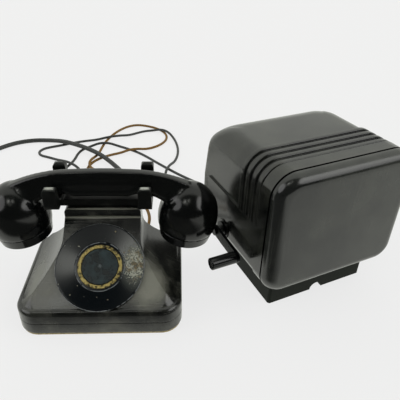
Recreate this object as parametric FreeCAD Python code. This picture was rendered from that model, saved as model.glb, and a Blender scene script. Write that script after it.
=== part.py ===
import FreeCAD, Part
import math
import os

# Table telephone with a cradle handset and a blank dial, and beside it the
# cabinet with its hand generator and bell.  A link cord joins the two.
# Millimetres.  X runs right, Y back, Z up; the origin is the centre of the
# telephone's underside.

V = FreeCAD.Vector
up = V(0, 0, 1)

# telephone: base and housing
base_width = 156.5
base_depth = 122.0
base_corner = 20.0
pad_thickness = 1.5
pad_inset = 1.2
tray_height = 14.0
tray_floor = 3.0
tray_edge_radius = 2.5
moulding_wall = 3.0
seam_chamfer = 0.4
rim_height = 9.5
shoulder_radius = 5.0
neck_width = 75.2
neck_rear = 26.0           # from the rear edge of the base
neck_depth = 19.0
neck_rise = 67.5           # top of the neck above the tray
neck_straight = 10.0
neck_bend_out = 6.4        # where the flank leaves the neck's curve
neck_bend_drop = 25.5
flank_sag = 1.5
rear_straight = 3.0
rear_sag = 6.7
rear_foot_inset = 4.0
corner_rise_front = 0.87   # rise of the rounded corners per mm inward
corner_rise_rear = 1.5
form_overlap = 1.0         # the upper form reaches this far below the shoulder

# telephone: fixings inside
boss_radius = 5.0
boss_inset_x = 17.0
boss_inset_y = 16.0
base_screw_radius = 1.75
base_screw_head_radius = 3.6
base_screw_head = 1.4
base_screw_engagement = 9.0
chassis_thickness = 1.5
chassis_width = 108.0
chassis_depth = 76.0
chassis_post_radius = 4.0
chassis_post_height = 5.0
chassis_screw_radius = 1.5
chassis_screw_head_radius = 3.0
chassis_screw_head = 2.0

# dial blank on the sloping face
dial_radius = 42.5
dial_up_slope = 39.2
dial_lift = 1.1            # the flange clears the shoulder by this step
dial_step_radius = 36.5
dial_thickness = 3.2
dial_edge_round = 1.7
dial_dish = 1.5
dial_spigot_radius = 31.8
dial_spigot_gap = 0.2
dial_spigot_wall = 4.0
dial_groove_radius = 23.6
dial_groove = 0.6
dial_ring_outer = 21.2
dial_ring_inner = 17.8
dial_ring_thickness = 1.2
dial_ring_proud = 0.35
dial_ring_gap = 0.05
dial_centre_thickness = 0.9
dial_web = 1.8
clamp_width = 9.0
clamp_thickness = 1.6
clamp_screw_radius = 1.1
clamp_screw_head_radius = 2.0
clamp_screw_head = 1.0
clamp_screw_length = 4.0
clamp_screws = 3
dial_screw_radius = 1.0
dial_screw_head_radius = 1.9
dial_screw_head = 0.6
dial_screw_length = 2.4

# neck cap and cradle
cap_height = 10.0
cap_end_radius = 5.0
cap_inset = 0.5
cap_screw_radius = 1.6
cap_screw_head_radius = 2.8
cap_screw_head = 1.2
stem_radius = 3.0
stem_spacing = 44.0
stem_fit = 0.05            # radial running clearance
bush_wall = 1.5
bush_flange = 1.6
bush_flange_thickness = 1.0
fork_lift = 4.0
bar_gap = 1.0              # crossbar above the bush flanges when down
bar_height = 7.0
bar_depth = 13.0
prong_inner_half = 37.4
prong_width = 12.6
saddle_span = 37.8         # between the front and rear prongs
prong_thickness = 8.6
saddle_thickness = 5.2
prong_rise_front = 24.0
prong_rise_rear = 25.5
saddle_inner_radius = 8.0
saddle_outer_radius = 6.0
prong_tip_radius = 3.8
stem_socket = 5.0
link_drop = 35.0           # link below the crossbar
link_length = 58.0
link_depth = 9.0
link_thickness = 4.0
link_pin_radius = 2.0
link_pin_length = 4.5
link_pin_x = 12.0
leaf_count = 3
leaf_thickness = 0.5
leaf_width = 6.0
leaf_length = 46.0
leaf_pitch = 3.0
leaf_gap = 0.6
pile_length = 14.0
pile_depth = 9.0
bracket_thickness = 1.5

# coil, capacitor and terminals inside the telephone
coil_flange = 22.0
coil_flange_thickness = 2.0
coil_body_radius = 9.5
coil_body_length = 50.0
coil_core_radius = 4.5
coil_core_proud = 3.0
induction_coil_y = -30.0
capacitor_size = (38.0, 18.0, 25.0)
capacitor_place = (14.0, 1.0)
strip_size = (56.0, 11.0, 8.0)
strip_place = (-16.0, 24.0)
strip_screws = 6
strip_screw_radius = 2.4
strip_screw_proud = 1.2

# handset
cup_spacing = 171.0
cup_tilt = 8.0
cup_radius = 30.7
cup_bottom = 66.0
cup_bore = 24.5
cup_bore_depth = 26.0
cap_face = 55.0
cap_rim_radius = 26.4
cap_wall_radius = 28.2
cap_face_thickness = 3.0
cap_spigot_length = 6.0
cap_spigot_wall = 1.8
cap_spigot_gap = 0.1
earpiece_holes = 6
mouthpiece_holes = 8
cap_hole_radius = 1.3
capsule_radius = 22.2
capsule_height = 11.0
handle_gap = 3.8            # between the saddle and the middle of the handle
handle_height = 21.0
handle_bottom_width = 25.0
handle_top_width = 8.5
grommet_angle = 35.0
grommet_height = 74.0
grommet_bore = 3.6
grommet_length = 13.0

# cabinet
cabinet_gap = 34.865       # from the handset's right cup to the case, along X
cabinet_y = -1.3
cabinet_turn = 22.67
plinth_width = 120.0
plinth_depth = 112.0
plinth_height = 31.0
plinth_wall = 5.0
plinth_top = 4.0
plinth_corner = 3.0
notch_radius = 7.5
case_width = 157.0
case_height = 130.5
case_front = -4.0
case_depth = 134.0
case_top_radius = 24.0
case_bottom_radius = 21.0
case_fall = 3.0            # of the top, from the seam to the rear
case_rear_radius = 3.0     # upright edges
case_rear_top_radius = 34.0
case_rear_low_radius = 9.0
case_wall = 3.5
cover_depth = 14.0
cover_edge_radius = 12.0
cover_lip = 3.0
cover_lip_gap = 0.15
band_depth = 15.0
relief = 2.0               # how far the plain body lies below the band
rib_count = 4
rib_first = 18.7           # first rib behind the seam
rib_pitch = 9.75
rib_width = 5.2
rib_round = 1.2
panel_bottom = 19.0        # above the case's underside
panel_top = 67.0
panel_end = 18.0           # from the rear of the case

# generator
crank_y = 72.0
crank_height = 23.0        # above the case's underside
crank_length = 44.3
crank_rest = 3.0           # of the arm below the level, in degrees
crank_arm_thickness = 3.0
crank_arm_width = 12.0
crank_shaft_radius = 4.0
crank_boss_radius = 11.0
crank_boss_proud = 1.2
bush_flange_radius = 8.5
crank_bush_wall = 2.0
crank_bush_flange = 1.6
crank_arm_gap = 4.2
crank_nut_height = 2.0
crank_nut_across = 9.0
handle_radius = 6.25
handle_length = 26.5
handle_pin_radius = 2.5
handle_end_gap = 0.4
handle_head = 1.2
gear_module = 0.6
gear_teeth = 50
pinion_teeth = 12
gear_thickness = 5.0
gear_from_wall = 7.0
mesh_angle = 76.0          # of the armature above the horizontal, seen from the right
end_plate_thickness = 3.0
generator_length = 53.0
generator_gap = 3.0
armature_radius = 13.0
armature_slot = 9.0
armature_shaft_radius = 2.0
magnet_count = 4
magnet_width = 11.2
magnet_pitch = 11.7
magnet_thickness = 10.0
magnet_gap = 0.6
magnet_leg = 42.0
bearing_fit = 0.04

# bell
bell_below_middle = 3.25
gong_depth = 14.0
gong_wall = 1.2
gong_x = 40.0
gong_y = 12.0
gong_clearance = 4.25      # to the case's floor
gong_gap = 12.0            # between the two gongs
clapper_radius = 3.5
clapper_rod_radius = 1.0
clapper_reach = 38.0
coil_radius = 9.0
coil_length = 34.0
coil_spacing = 32.0
ringer_plate_y = 46.0
ringer_plate_thickness = 3.0
ringer_plate_width = 56.0
ringer_plate_gap = 0.5     # from the case's inner wall

# cords
handset_cord_radius = 3.5
arc_share = 0.45           # share of the shorter run that each bend's arc takes
plug_radius = 5.0
plug_length = 20.0
plug_taper = 5.0
plug_pin_radius = 1.2
plug_pin_length = 7.0
plug_pin_spacing = 5.0
link_cord_radius = 2.0
battery_cord_radius = 2.0
gland_wall = 1.6
gland_flange = 1.4
gland_reach = 5.0
cord_exit_height = 7.0

# small pieces inside the cabinet
plinth_screw_radius = 2.0
plinth_screw_head_radius = 3.8
plinth_screw_head = 2.0
plinth_screw_inset = 14.0
cord_block_clearance = 0.3
root_share = 0.32          # half widths of a tooth, in tooth pitches
tip_share = 0.13
handle_recess = 2.2
handle_head_radius = 3.6
handle_end_round = 0.9
bed_height = 15.0
generator_half_depth = 27.0
end_plate_above = 44.0
end_plate_round = 12.0
armature_end_gap = 1.2
armature_slot_depth = 8.0
winding_below = 1.0
gong_screw_radius = 1.8
gong_post_radius = 3.2
lug_thickness = 1.6
lug_round = 4.0
rocker_width = 18.0
rocker_thickness = 3.2
rocker_length = 44.0
pivot_radius = 1.0
pivot_gap = 0.3
pivot_set_back = 9.0
pole_gap = 1.6
core_proud = 2.0
core_radius = 3.5
clapper_window = 4.5
stay_radius = 2.0
stay_gap = 1.0
yoke_thickness = 4.0
cabinet_strip_size = (44.0, 16.0, 12.0)
cabinet_strip_place = (-46.0, 12.0)

# handset sections
cup_pivot = 85.0
cup_section = [(28.4, 66.0), (30.2, 72.5), (30.7, 80.0), (29.6, 90.0), (25.8, 100.5), (18.5, 109.0),
               (9.5, 114.8), (0.0, 116.5)]
handle_low_round = 3.0
handle_top_round = 2.2
# station x, fall of the ridge, fall of the underside, width at the ridge and below
handle_stations = [(0.0, 0.0, 0.0, 8.5, 25.0), (30.0, 0.8, 0.6, 8.5, 25.0), (48.0, 2.6, 2.6, 8.6, 25.4),
                   (59.0, 4.8, 8.2, 9.0, 26.5), (70.0, 8.0, 15.0, 9.6, 28.5), (82.0, 12.6, 20.0, 10.5, 31.0),
                   (94.0, 18.6, 23.0, 11.0, 31.0)]
cap_round = 2.4
earpiece_dish = 1.0
earpiece_circle = 8.0
mouthpiece_dish = 1.8
mouthpiece_circle = 10.0

# heights and places that follow
cabinet_x = (cup_spacing / 2 + cup_radius + cabinet_gap
             + case_width / 2 * math.cos(math.radians(cabinet_turn)))
tray_bottom = pad_thickness
tray_top = tray_bottom + tray_height
shoulder_top = tray_top + rim_height + shoulder_radius
neck_top = tray_top + neck_rise
front_y = -base_depth / 2
neck_rear_y = -front_y - neck_rear
neck_front_y = neck_rear_y - neck_depth
neck_half = neck_width / 2
neck_mid_y = (neck_front_y + neck_rear_y) / 2
foot_y = front_y + shoulder_radius
slope = math.degrees(math.atan2(neck_top - shoulder_top, neck_front_y - foot_y))
boss_x = base_width / 2 - boss_inset_x
boss_y = base_depth / 2 - boss_inset_y
tray_inner_z = tray_bottom + tray_floor
chassis_z = tray_inner_z + chassis_post_height
chassis_top = chassis_z + chassis_thickness
cap_top = neck_top + cap_height
bar_bottom = cap_top + bush_flange_thickness + bar_gap
bar_top = bar_bottom + bar_height
saddle_top = bar_top + saddle_thickness
handle_bottom = saddle_top + handle_gap
handle_top = handle_bottom + handle_height
bush_radius = stem_radius + stem_fit + bush_wall
case_bottom = plinth_height
crank_z = case_bottom + crank_height
gear_radius = gear_module * gear_teeth / 2
pinion_radius = gear_module * pinion_teeth / 2
mesh_distance = gear_radius + pinion_radius
armature_y = crank_y + mesh_distance * math.cos(math.radians(mesh_angle))
armature_z = crank_z + mesh_distance * math.sin(math.radians(mesh_angle))
wall_x = -case_width / 2
bell_z = case_bottom + (case_height + case_wall) / 2 - bell_below_middle
gong_radius = (bell_z - case_bottom - case_wall - gong_clearance - gong_gap / 2) / 2
gong_drop = gong_radius + gong_gap / 2
inner_wall_x = wall_x + relief + case_wall


def line(start, end):
    return Part.LineSegment(start, end).toShape()


def arc(start, middle, end):
    return Part.Arc(start, middle, end).toShape()


def polygon(points):
    return Part.Face(Part.makePolygon(points + [points[0]]))


def cylinder(radius, height, base, axis=up):
    return Part.makeCylinder(radius, height, base, axis)


def tube(outer, inner, height, base, axis=up):
    return cylinder(outer, height, base, axis).cut(cylinder(inner, height, base, axis))


def block(x0, x1, y0, y1, z0, z1):
    return Part.makeBox(x1 - x0, y1 - y0, z1 - z0, V(x0, y0, z0))


def fuse(shapes):
    joined = shapes[0].fuse(shapes[1:]) if len(shapes) > 1 else shapes[0]
    return joined.removeSplitter()


def sagged(start, end, sag, side):
    # arc whose middle lies sag away from the chord, toward side
    middle = (start + end) * 0.5
    toward = V(side)
    toward.normalize()
    return arc(start, middle + toward * sag, end)


def rounded_rectangle(width, depth, radius, z, centre=(0, 0)):
    # face in a level plane with four round corners
    cx, cy = centre
    x, y = width / 2, depth / 2
    k = radius * (1 - math.sqrt(0.5))
    edges = []
    for turn in range(4):
        rotation = FreeCAD.Rotation(up, 90 * turn)
        half_u, half_v = (x, y) if turn % 2 == 0 else (y, x)
        at = lambda u, v: rotation.multVec(V(u, v, 0)) + V(cx, cy, z)
        edges.append(line(at(half_u, -half_v + radius), at(half_u, half_v - radius)))
        edges.append(arc(at(half_u, half_v - radius), at(half_u - k, half_v - k),
                         at(half_u - radius, half_v)))
    return Part.Face(Part.Wire(edges))


def rounded_block(width, depth, radius, z0, z1, centre=(0, 0)):
    return rounded_rectangle(width, depth, radius, z0, centre).extrude(V(0, 0, z1 - z0))


def edges_at(shape, z, tolerance=0.01):
    # edges that lie level at the height z
    return [e for e in shape.Edges
            if abs(e.BoundBox.ZMin - z) < tolerance and abs(e.BoundBox.ZMax - z) < tolerance]


def edges_at_y(shape, y, tolerance=0.01):
    return [e for e in shape.Edges
            if abs(e.BoundBox.YMin - y) < tolerance and abs(e.BoundBox.YMax - y) < tolerance]


def outline(points):
    # wire through (r, z) corners; a point given as (r, z, "arc") is the middle of an arc
    edges = []
    start = V(points[0][0], 0, points[0][1])
    middle = None
    for point in points[1:] + [points[0]]:
        here = V(point[0], 0, point[1])
        if len(point) == 3:
            middle = here
            continue
        edges.append(arc(start, middle, here) if middle else line(start, here))
        start, middle = here, None
    return Part.Wire(edges)


def turned(points):
    # solid of revolution about Z from its (r, z) section
    return Part.Face(outline(points)).revolve(V(0, 0, 0), up, 360)


def placed(shape, position, rotation=None):
    moved = shape.copy()
    moved.Placement = FreeCAD.Placement(position, rotation or FreeCAD.Rotation()).multiply(moved.Placement)
    return moved


def on_slope(shape):
    # from (across, up the slope, out of the face) to the telephone's frame
    return placed(shape, V(0, foot_y, shoulder_top), FreeCAD.Rotation(V(1, 0, 0), slope))


def in_cabinet(shape):
    # from the cabinet's frame, with its origin at the plinth's front, to the telephone's
    return placed(shape, V(cabinet_x, cabinet_y, 0), FreeCAD.Rotation(up, cabinet_turn))


# ---- telephone base ----

def base_pad():
    width = base_width - 2 * pad_inset
    depth = base_depth - 2 * pad_inset
    return rounded_block(width, depth, base_corner - pad_inset, 0, pad_thickness)


def base_screw_places():
    return [V(x, y, 0) for x in (-boss_x, boss_x) for y in (-boss_y, boss_y)]


def chassis_post_places():
    x = chassis_width / 2 - 2 * chassis_post_radius
    y = chassis_depth / 2 - 2 * chassis_post_radius
    return [V(i * x, j * y, 0) for i in (-1, 1) for j in (-1, 1)]


def base_tray():
    tray = rounded_block(base_width, base_depth, base_corner, tray_bottom, tray_top)
    tray = tray.makeFillet(tray_edge_radius, edges_at(tray, tray_bottom))
    tray = tray.makeChamfer(seam_chamfer, edges_at(tray, tray_top))
    inner_width = base_width - 2 * moulding_wall
    inner_depth = base_depth - 2 * moulding_wall
    hollow = rounded_block(inner_width, inner_depth, base_corner - moulding_wall, tray_inner_z, tray_top)
    tray = tray.cut(hollow)
    posts = [cylinder(chassis_post_radius, chassis_post_height, p + V(0, 0, tray_inner_z))
             for p in chassis_post_places()]
    posts += [cylinder(boss_radius, tray_top - tray_inner_z, p + V(0, 0, tray_inner_z))
              for p in base_screw_places()]
    tray = tray.fuse(posts)
    cuts = [cylinder(base_screw_radius, tray_height, p + V(0, 0, tray_bottom)) for p in base_screw_places()]
    cuts += [cylinder(base_screw_head_radius, base_screw_head, p + V(0, 0, tray_bottom))
             for p in base_screw_places()]
    cuts += [cylinder(chassis_screw_radius, chassis_post_height, p + V(0, 0, tray_inner_z))
             for p in chassis_post_places()]
    cuts += [cylinder(sleeve, 3 * moulding_wall, V(x, -front_y - 2 * moulding_wall, cord_exit_height), V(0, 1, 0))
             for x, bore, sleeve in cord_exits()]
    return tray.cut(cuts).removeSplitter()


def screw(shank_radius, length, head_radius, head, top, downward=True):
    # pan-headed screw; top is the seat of its head, on the side of the head
    axis = V(0, 0, -1) if downward else up
    shank = cylinder(shank_radius, length, top, axis)
    return shank.fuse(cylinder(head_radius, head, top, axis * -1)).removeSplitter()


def base_screws():
    # housing screws from below and chassis screws from above
    screws = []
    seat = tray_bottom + base_screw_head
    length = tray_top - seat + base_screw_engagement
    for place in base_screw_places():
        screws.append(screw(base_screw_radius, length, base_screw_head_radius, base_screw_head,
                            place + V(0, 0, seat), downward=False))
    for place in chassis_post_places():
        screws.append(screw(chassis_screw_radius, chassis_post_height + chassis_thickness,
                            chassis_screw_head_radius, chassis_screw_head, place + V(0, 0, chassis_top)))
    return Part.makeCompound(screws)


# ---- telephone housing ----

def flank_face(inset=0):
    # front view of the housing above its shoulder, a little below it at the foot
    foot_x = base_width / 2 - shoulder_radius
    low = shoulder_top - form_overlap - 4 * inset
    bend = V(neck_half + neck_bend_out, 0, neck_top - neck_bend_drop)
    root = V(neck_half, 0, neck_top - neck_straight)
    drop = root.z - bend.z
    radius = (neck_bend_out ** 2 + drop ** 2) / (2 * neck_bend_out)
    half_turn = math.asin(drop / radius) / 2
    knee = V(neck_half + radius * (1 - math.cos(half_turn)), 0, root.z - radius * math.sin(half_turn))
    foot = V(foot_x, 0, shoulder_top)
    right = [line(V(foot_x, 0, low), foot), sagged(foot, bend, flank_sag, V(-1, 0, -1)),
             arc(bend, knee, root), line(root, V(neck_half, 0, neck_top))]
    left = [edge.mirror(V(0, 0, 0), V(1, 0, 0)) for edge in right]
    top = line(V(neck_half, 0, neck_top), V(-neck_half, 0, neck_top))
    bottom = line(V(-foot_x, 0, low), V(foot_x, 0, low))
    face = Part.Face(Part.Wire(Part.__sortEdges__(right + [top] + left + [bottom])))
    return face.makeOffset2D(-inset) if inset else face


def side_face(inset=0):
    # side view of the housing above its shoulder
    low = shoulder_top - form_overlap - 4 * inset
    rear_foot = V(0, -front_y - rear_foot_inset, shoulder_top)
    rear_neck = V(0, neck_rear_y, neck_top - rear_straight)
    edges = [line(V(0, foot_y, low), V(0, foot_y, shoulder_top)),
             line(V(0, foot_y, shoulder_top), V(0, neck_front_y, neck_top)),
             line(V(0, neck_front_y, neck_top), V(0, neck_rear_y, neck_top)),
             line(V(0, neck_rear_y, neck_top), rear_neck),
             sagged(rear_neck, rear_foot, rear_sag, V(0, -1, -0.44)),
             line(rear_foot, V(0, rear_foot.y, low)),
             line(V(0, rear_foot.y, low), V(0, foot_y, low))]
    face = Part.Face(Part.Wire(edges))
    return face.makeOffset2D(-inset) if inset else face


def round_corners(body, inset):
    # each corner of the housing above its shoulder is part of a cone
    radius = base_corner - shoulder_radius
    x = base_width / 2 - base_corner
    y = base_depth / 2 - base_corner
    for side_x in (-1, 1):
        for side_y, rise in ((-1, corner_rise_front), (1, corner_rise_rear)):
            low = shoulder_top - form_overlap - 4 * inset
            apex = shoulder_top + radius * rise - inset * math.sqrt(1 + rise * rise)
            cone = Part.makeCone((apex - low) / rise, 0, apex - low, V(side_x * x, side_y * y, low))
            size = 2 * base_corner
            corner = Part.makeBox(size, size, neck_top, V(0, 0, low))
            corner.translate(V(side_x * x - (size if side_x < 0 else 0),
                               side_y * y - (size if side_y < 0 else 0), 0))
            body = body.cut(corner.cut(cone))
    return body


def housing_form(inset=0):
    across = flank_face(inset).extrude(V(0, 2 * base_depth, 0))
    across.translate(V(0, -base_depth, 0))
    along = side_face(inset).extrude(V(2 * base_width, 0, 0))
    along.translate(V(-base_width, 0, 0))
    upper = round_corners(across.common(along), inset)
    lower = rounded_block(base_width - 2 * inset, base_depth - 2 * inset, base_corner - inset,
                          tray_top, shoulder_top - inset)
    lower = lower.makeFillet(shoulder_radius - inset, edges_at(lower, shoulder_top - inset))
    if not inset:
        lower = lower.makeChamfer(seam_chamfer, edges_at(lower, tray_top))
    return lower.fuse(upper).removeSplitter()


def housing():
    outer = housing_form()
    body = outer.cut(housing_form(moulding_wall))
    boss_top = shoulder_top + boss_radius
    bosses = [cylinder(boss_radius, boss_top - tray_top, p + V(0, 0, tray_top)) for p in base_screw_places()]
    body = body.fuse(Part.makeCompound(bosses).common(outer)).removeSplitter()
    cuts = [cylinder(base_screw_radius, base_screw_engagement, p + V(0, 0, tray_top))
            for p in base_screw_places()]
    cuts.append(on_slope(cylinder(dial_spigot_radius + dial_spigot_gap, 4 * moulding_wall,
                                  V(0, dial_up_slope, -3 * moulding_wall))))
    cuts += [cylinder(bush_radius, 2 * moulding_wall, V(x, neck_mid_y, neck_top - 2 * moulding_wall))
             for x in stem_places()]
    cuts.append(cylinder(cap_screw_radius, 2 * moulding_wall, V(0, neck_mid_y, neck_top - 2 * moulding_wall)))
    return body.cut(cuts)


# ---- dial blank: revolved sections, in the frame of the slope ----

def on_dial(shape):
    return on_slope(placed(shape, V(0, dial_up_slope, 0)))


def dial_blank():
    top = dial_lift + dial_thickness
    floor = top - dial_dish
    seat = floor + dial_ring_proud - dial_ring_thickness
    ring_in = dial_ring_inner - dial_ring_gap
    ring_out = dial_ring_outer + dial_ring_gap
    crest = dial_radius - dial_edge_round
    k = dial_edge_round * (1 - math.sqrt(0.5))
    chamfer = dial_groove
    section = [(0, seat - dial_web), (dial_spigot_radius - dial_spigot_wall, seat - dial_web),
               (dial_spigot_radius - dial_spigot_wall, -moulding_wall),
               (dial_spigot_radius, -moulding_wall), (dial_spigot_radius, 0),
               (dial_step_radius, 0), (dial_step_radius, dial_lift),
               (dial_radius - chamfer, dial_lift), (dial_radius, dial_lift + chamfer),
               (dial_radius, top - dial_edge_round), (dial_radius - k, top - k, "arc"),
               (crest, top), (dial_groove_radius + dial_groove, floor),
               (dial_groove_radius, floor - dial_groove), (dial_groove_radius - dial_groove, floor),
               (ring_out, floor), (ring_out, seat), (ring_in, seat), (ring_in, floor - dial_ring_proud),
               (dial_ring_inner - dial_groove, floor - dial_centre_thickness),
               (0, floor - dial_centre_thickness)]
    blank = turned(section)
    holes = [cylinder(dial_screw_radius, dial_screw_length, V(0, 0, floor - dial_screw_length))]
    holes += [cylinder(clamp_screw_radius, clamp_screw_length, p + V(0, 0, -moulding_wall - clamp_thickness))
              for p in clamp_screw_places()]
    return on_dial(blank.cut(holes))


def dial_ring():
    floor = dial_lift + dial_thickness - dial_dish
    base = V(0, 0, floor + dial_ring_proud - dial_ring_thickness)
    ring = tube(dial_ring_outer, dial_ring_inner, dial_ring_thickness, base)
    rims = [e for e in edges_at(ring, base.z + dial_ring_thickness)]
    return on_dial(ring.makeChamfer(dial_ring_proud, rims))


def dial_centre():
    floor = dial_lift + dial_thickness - dial_dish
    radius = dial_ring_inner - dial_groove - dial_ring_gap
    disc = cylinder(radius, dial_centre_thickness, V(0, 0, floor - dial_centre_thickness))
    hole = cylinder(dial_screw_radius, dial_centre_thickness, V(0, 0, floor - dial_centre_thickness))
    return on_dial(disc.cut(hole))


def dial_screw():
    floor = dial_lift + dial_thickness - dial_dish
    shank = cylinder(dial_screw_radius, dial_screw_length, V(0, 0, floor - dial_screw_length))
    head = cylinder(dial_screw_head_radius, dial_screw_head, V(0, 0, floor))
    return on_dial(shank.fuse(head).removeSplitter())


def clamp_screw_places():
    radius = dial_spigot_radius - dial_spigot_wall / 2
    places = []
    for i in range(clamp_screws):
        angle = 2 * math.pi * (i + 0.25) / clamp_screws
        places.append(V(radius * math.cos(angle), radius * math.sin(angle), 0))
    return places


def dial_clamp():
    inner = dial_spigot_radius - dial_spigot_wall
    base = V(0, 0, -moulding_wall - clamp_thickness)
    ring = tube(inner + clamp_width, inner, clamp_thickness, base)
    holes = [cylinder(clamp_screw_radius, clamp_thickness, p + base) for p in clamp_screw_places()]
    return on_dial(ring.cut(holes))


def dial_clamp_screws():
    base = V(0, 0, -moulding_wall - clamp_thickness)
    screws = []
    for place in clamp_screw_places():
        shank = cylinder(clamp_screw_radius, clamp_screw_length, place + base)
        head = cylinder(clamp_screw_head_radius, clamp_screw_head, place + base - V(0, 0, clamp_screw_head))
        screws.append(shank.fuse(head).removeSplitter())
    return on_dial(Part.makeCompound(screws))


# ---- neck cap and cradle ----

def stem_places():
    return [-stem_spacing / 2, stem_spacing / 2]


def neck_cap():
    half = neck_half
    front = neck_front_y + cap_inset
    rear = neck_rear_y - cap_inset
    cap = block(-half, half, front, rear, neck_top, cap_top)
    ends = [e for e in edges_at(cap, cap_top) if abs(abs(e.CenterOfMass.x) - half) < 0.01]
    cap = cap.makeFillet(cap_end_radius, ends)
    cuts = [cylinder(bush_radius, cap_height, V(x, neck_mid_y, neck_top)) for x in stem_places()]
    cuts.append(cylinder(cap_screw_radius, cap_height, V(0, neck_mid_y, neck_top)))
    cuts.append(cylinder(cap_screw_head_radius, cap_screw_head, V(0, neck_mid_y, cap_top - cap_screw_head)))
    return cap.cut(cuts)


def cap_screw():
    reach = cap_height + 2 * moulding_wall
    shank = cylinder(cap_screw_radius, reach, V(0, neck_mid_y, cap_top - reach))
    head = cylinder(cap_screw_head_radius, cap_screw_head, V(0, neck_mid_y, cap_top - cap_screw_head))
    return shank.fuse(head).removeSplitter()


def fork_bushes():
    bushes = []
    bottom = neck_top - moulding_wall
    for x in stem_places():
        body = cylinder(bush_radius, cap_top - bottom, V(x, neck_mid_y, bottom))
        flange = cylinder(bush_radius + bush_flange, bush_flange_thickness, V(x, neck_mid_y, cap_top))
        bore = cylinder(stem_radius + stem_fit, 2 * neck_rise, V(x, neck_mid_y, 0))
        bushes.append(body.fuse(flange).removeSplitter().cut(bore))
    return Part.makeCompound(bushes)


def saddle(x0):
    # U-shaped rest with a front and a rear prong
    inner = saddle_span / 2
    outer = inner + prong_thickness
    low, floor = bar_top, saddle_top
    front_tip, rear_tip = bar_top + prong_rise_front, bar_top + prong_rise_rear
    radii = [0, 0, saddle_outer_radius, saddle_outer_radius, 0, 0, saddle_inner_radius, saddle_inner_radius]
    corners = [V(0, -inner, front_tip), V(0, -outer, front_tip), V(0, -outer, low), V(0, outer, low),
               V(0, outer, rear_tip), V(0, inner, rear_tip), V(0, inner, floor), V(0, -inner, floor)]
    rest = Part.Face(rounded_polygon(corners, radii)).extrude(V(prong_width, 0, 0))
    tips = edges_at(rest, front_tip) + edges_at(rest, rear_tip)
    tips = [e for e in tips if e.Length < 2 * prong_width]
    rest = rest.makeFillet(prong_tip_radius, tips)
    return placed(rest, V(x0, neck_mid_y, 0))


def cradle_fork():
    half = prong_inner_half + prong_width
    bar = block(-half, half, neck_mid_y - bar_depth / 2, neck_mid_y + bar_depth / 2, bar_bottom, bar_top)
    ends = [e for e in edges_at(bar, bar_bottom) if abs(abs(e.CenterOfMass.x) - half) < 0.01]
    bar = bar.makeFillet(saddle_outer_radius, ends)
    fork = fuse([bar, saddle(prong_inner_half), saddle(-half)])
    sockets = [cylinder(stem_radius, stem_socket, V(x, neck_mid_y, bar_bottom)) for x in stem_places()]
    return fork.cut(sockets)


def fork_stems():
    bottom = bar_bottom - link_drop
    length = link_drop + stem_socket
    return Part.makeCompound([cylinder(stem_radius, length, V(x, neck_mid_y, bottom)) for x in stem_places()])


def fork_link():
    bottom = bar_bottom - link_drop
    link = block(-link_length / 2, link_length / 2, neck_mid_y - link_depth / 2, neck_mid_y + link_depth / 2,
                 bottom, bottom + link_thickness)
    pin = cylinder(link_pin_radius, link_pin_length, V(link_pin_x, neck_mid_y, bottom - link_pin_length))
    sockets = [cylinder(stem_radius, link_thickness, V(x, neck_mid_y, bottom)) for x in stem_places()]
    return link.fuse(pin).removeSplitter().cut(sockets)


def rounded_polygon(corners, radii):
    # closed wire whose corners are arcs of the given radii
    edges = []
    starts, ends, middles = [], [], []
    count = len(corners)
    for i in range(count):
        corner, radius = corners[i], radii[i]
        back = corners[i - 1] - corner
        ahead = corners[(i + 1) % count] - corner
        back.normalize()
        ahead.normalize()
        half = back.getAngle(ahead) / 2
        toward = back + ahead
        toward.normalize()
        reach = radius / math.tan(half)
        starts.append(corner + back * reach)
        ends.append(corner + ahead * reach)
        middles.append(corner + toward * (radius / math.sin(half) - radius))
    for i in range(count):
        if radii[i]:
            edges.append(arc(starts[i], middles[i], ends[i]))
        edges.append(line(ends[i], starts[(i + 1) % count]))
    return Part.Wire(edges)


# ---- works inside the telephone ----

def chassis_plate():
    plate = block(-chassis_width / 2, chassis_width / 2, -chassis_depth / 2, chassis_depth / 2,
                  chassis_z, chassis_top)
    holes = [cylinder(chassis_screw_radius, chassis_thickness, p + V(0, 0, chassis_z))
             for p in chassis_post_places()]
    return plate.cut(holes)


def contact_top():
    # height of the uppermost leaf's upper face
    return bar_bottom - link_drop - link_pin_length - leaf_gap


def contact_bracket():
    x0 = link_pin_x - leaf_length + leaf_width / 2
    x1 = x0 + pile_length
    y0 = neck_mid_y + pile_depth / 2
    back = block(x0, x1, y0, y0 + bracket_thickness, chassis_top, contact_top() + leaf_pitch)
    foot = block(x0, x1, y0 - pile_depth, y0 + bracket_thickness, chassis_top, chassis_top + bracket_thickness)
    return back.fuse(foot).removeSplitter()


def leaf_heights():
    return [contact_top() - leaf_thickness - i * leaf_pitch for i in range(leaf_count)]


def leaf(z):
    x0 = link_pin_x - leaf_length + leaf_width / 2
    return block(x0, x0 + leaf_length, neck_mid_y - leaf_width / 2, neck_mid_y + leaf_width / 2,
                 z, z + leaf_thickness)


def contact_springs():
    return Part.makeCompound([leaf(z) for z in leaf_heights()])


def contact_pile():
    x0 = link_pin_x - leaf_length + leaf_width / 2
    heights = leaf_heights()
    pile = block(x0, x0 + pile_length, neck_mid_y - pile_depth / 2, neck_mid_y + pile_depth / 2,
                 heights[-1] - leaf_pitch, heights[0] + leaf_pitch)
    return pile.cut([leaf(z) for z in heights])


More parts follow.
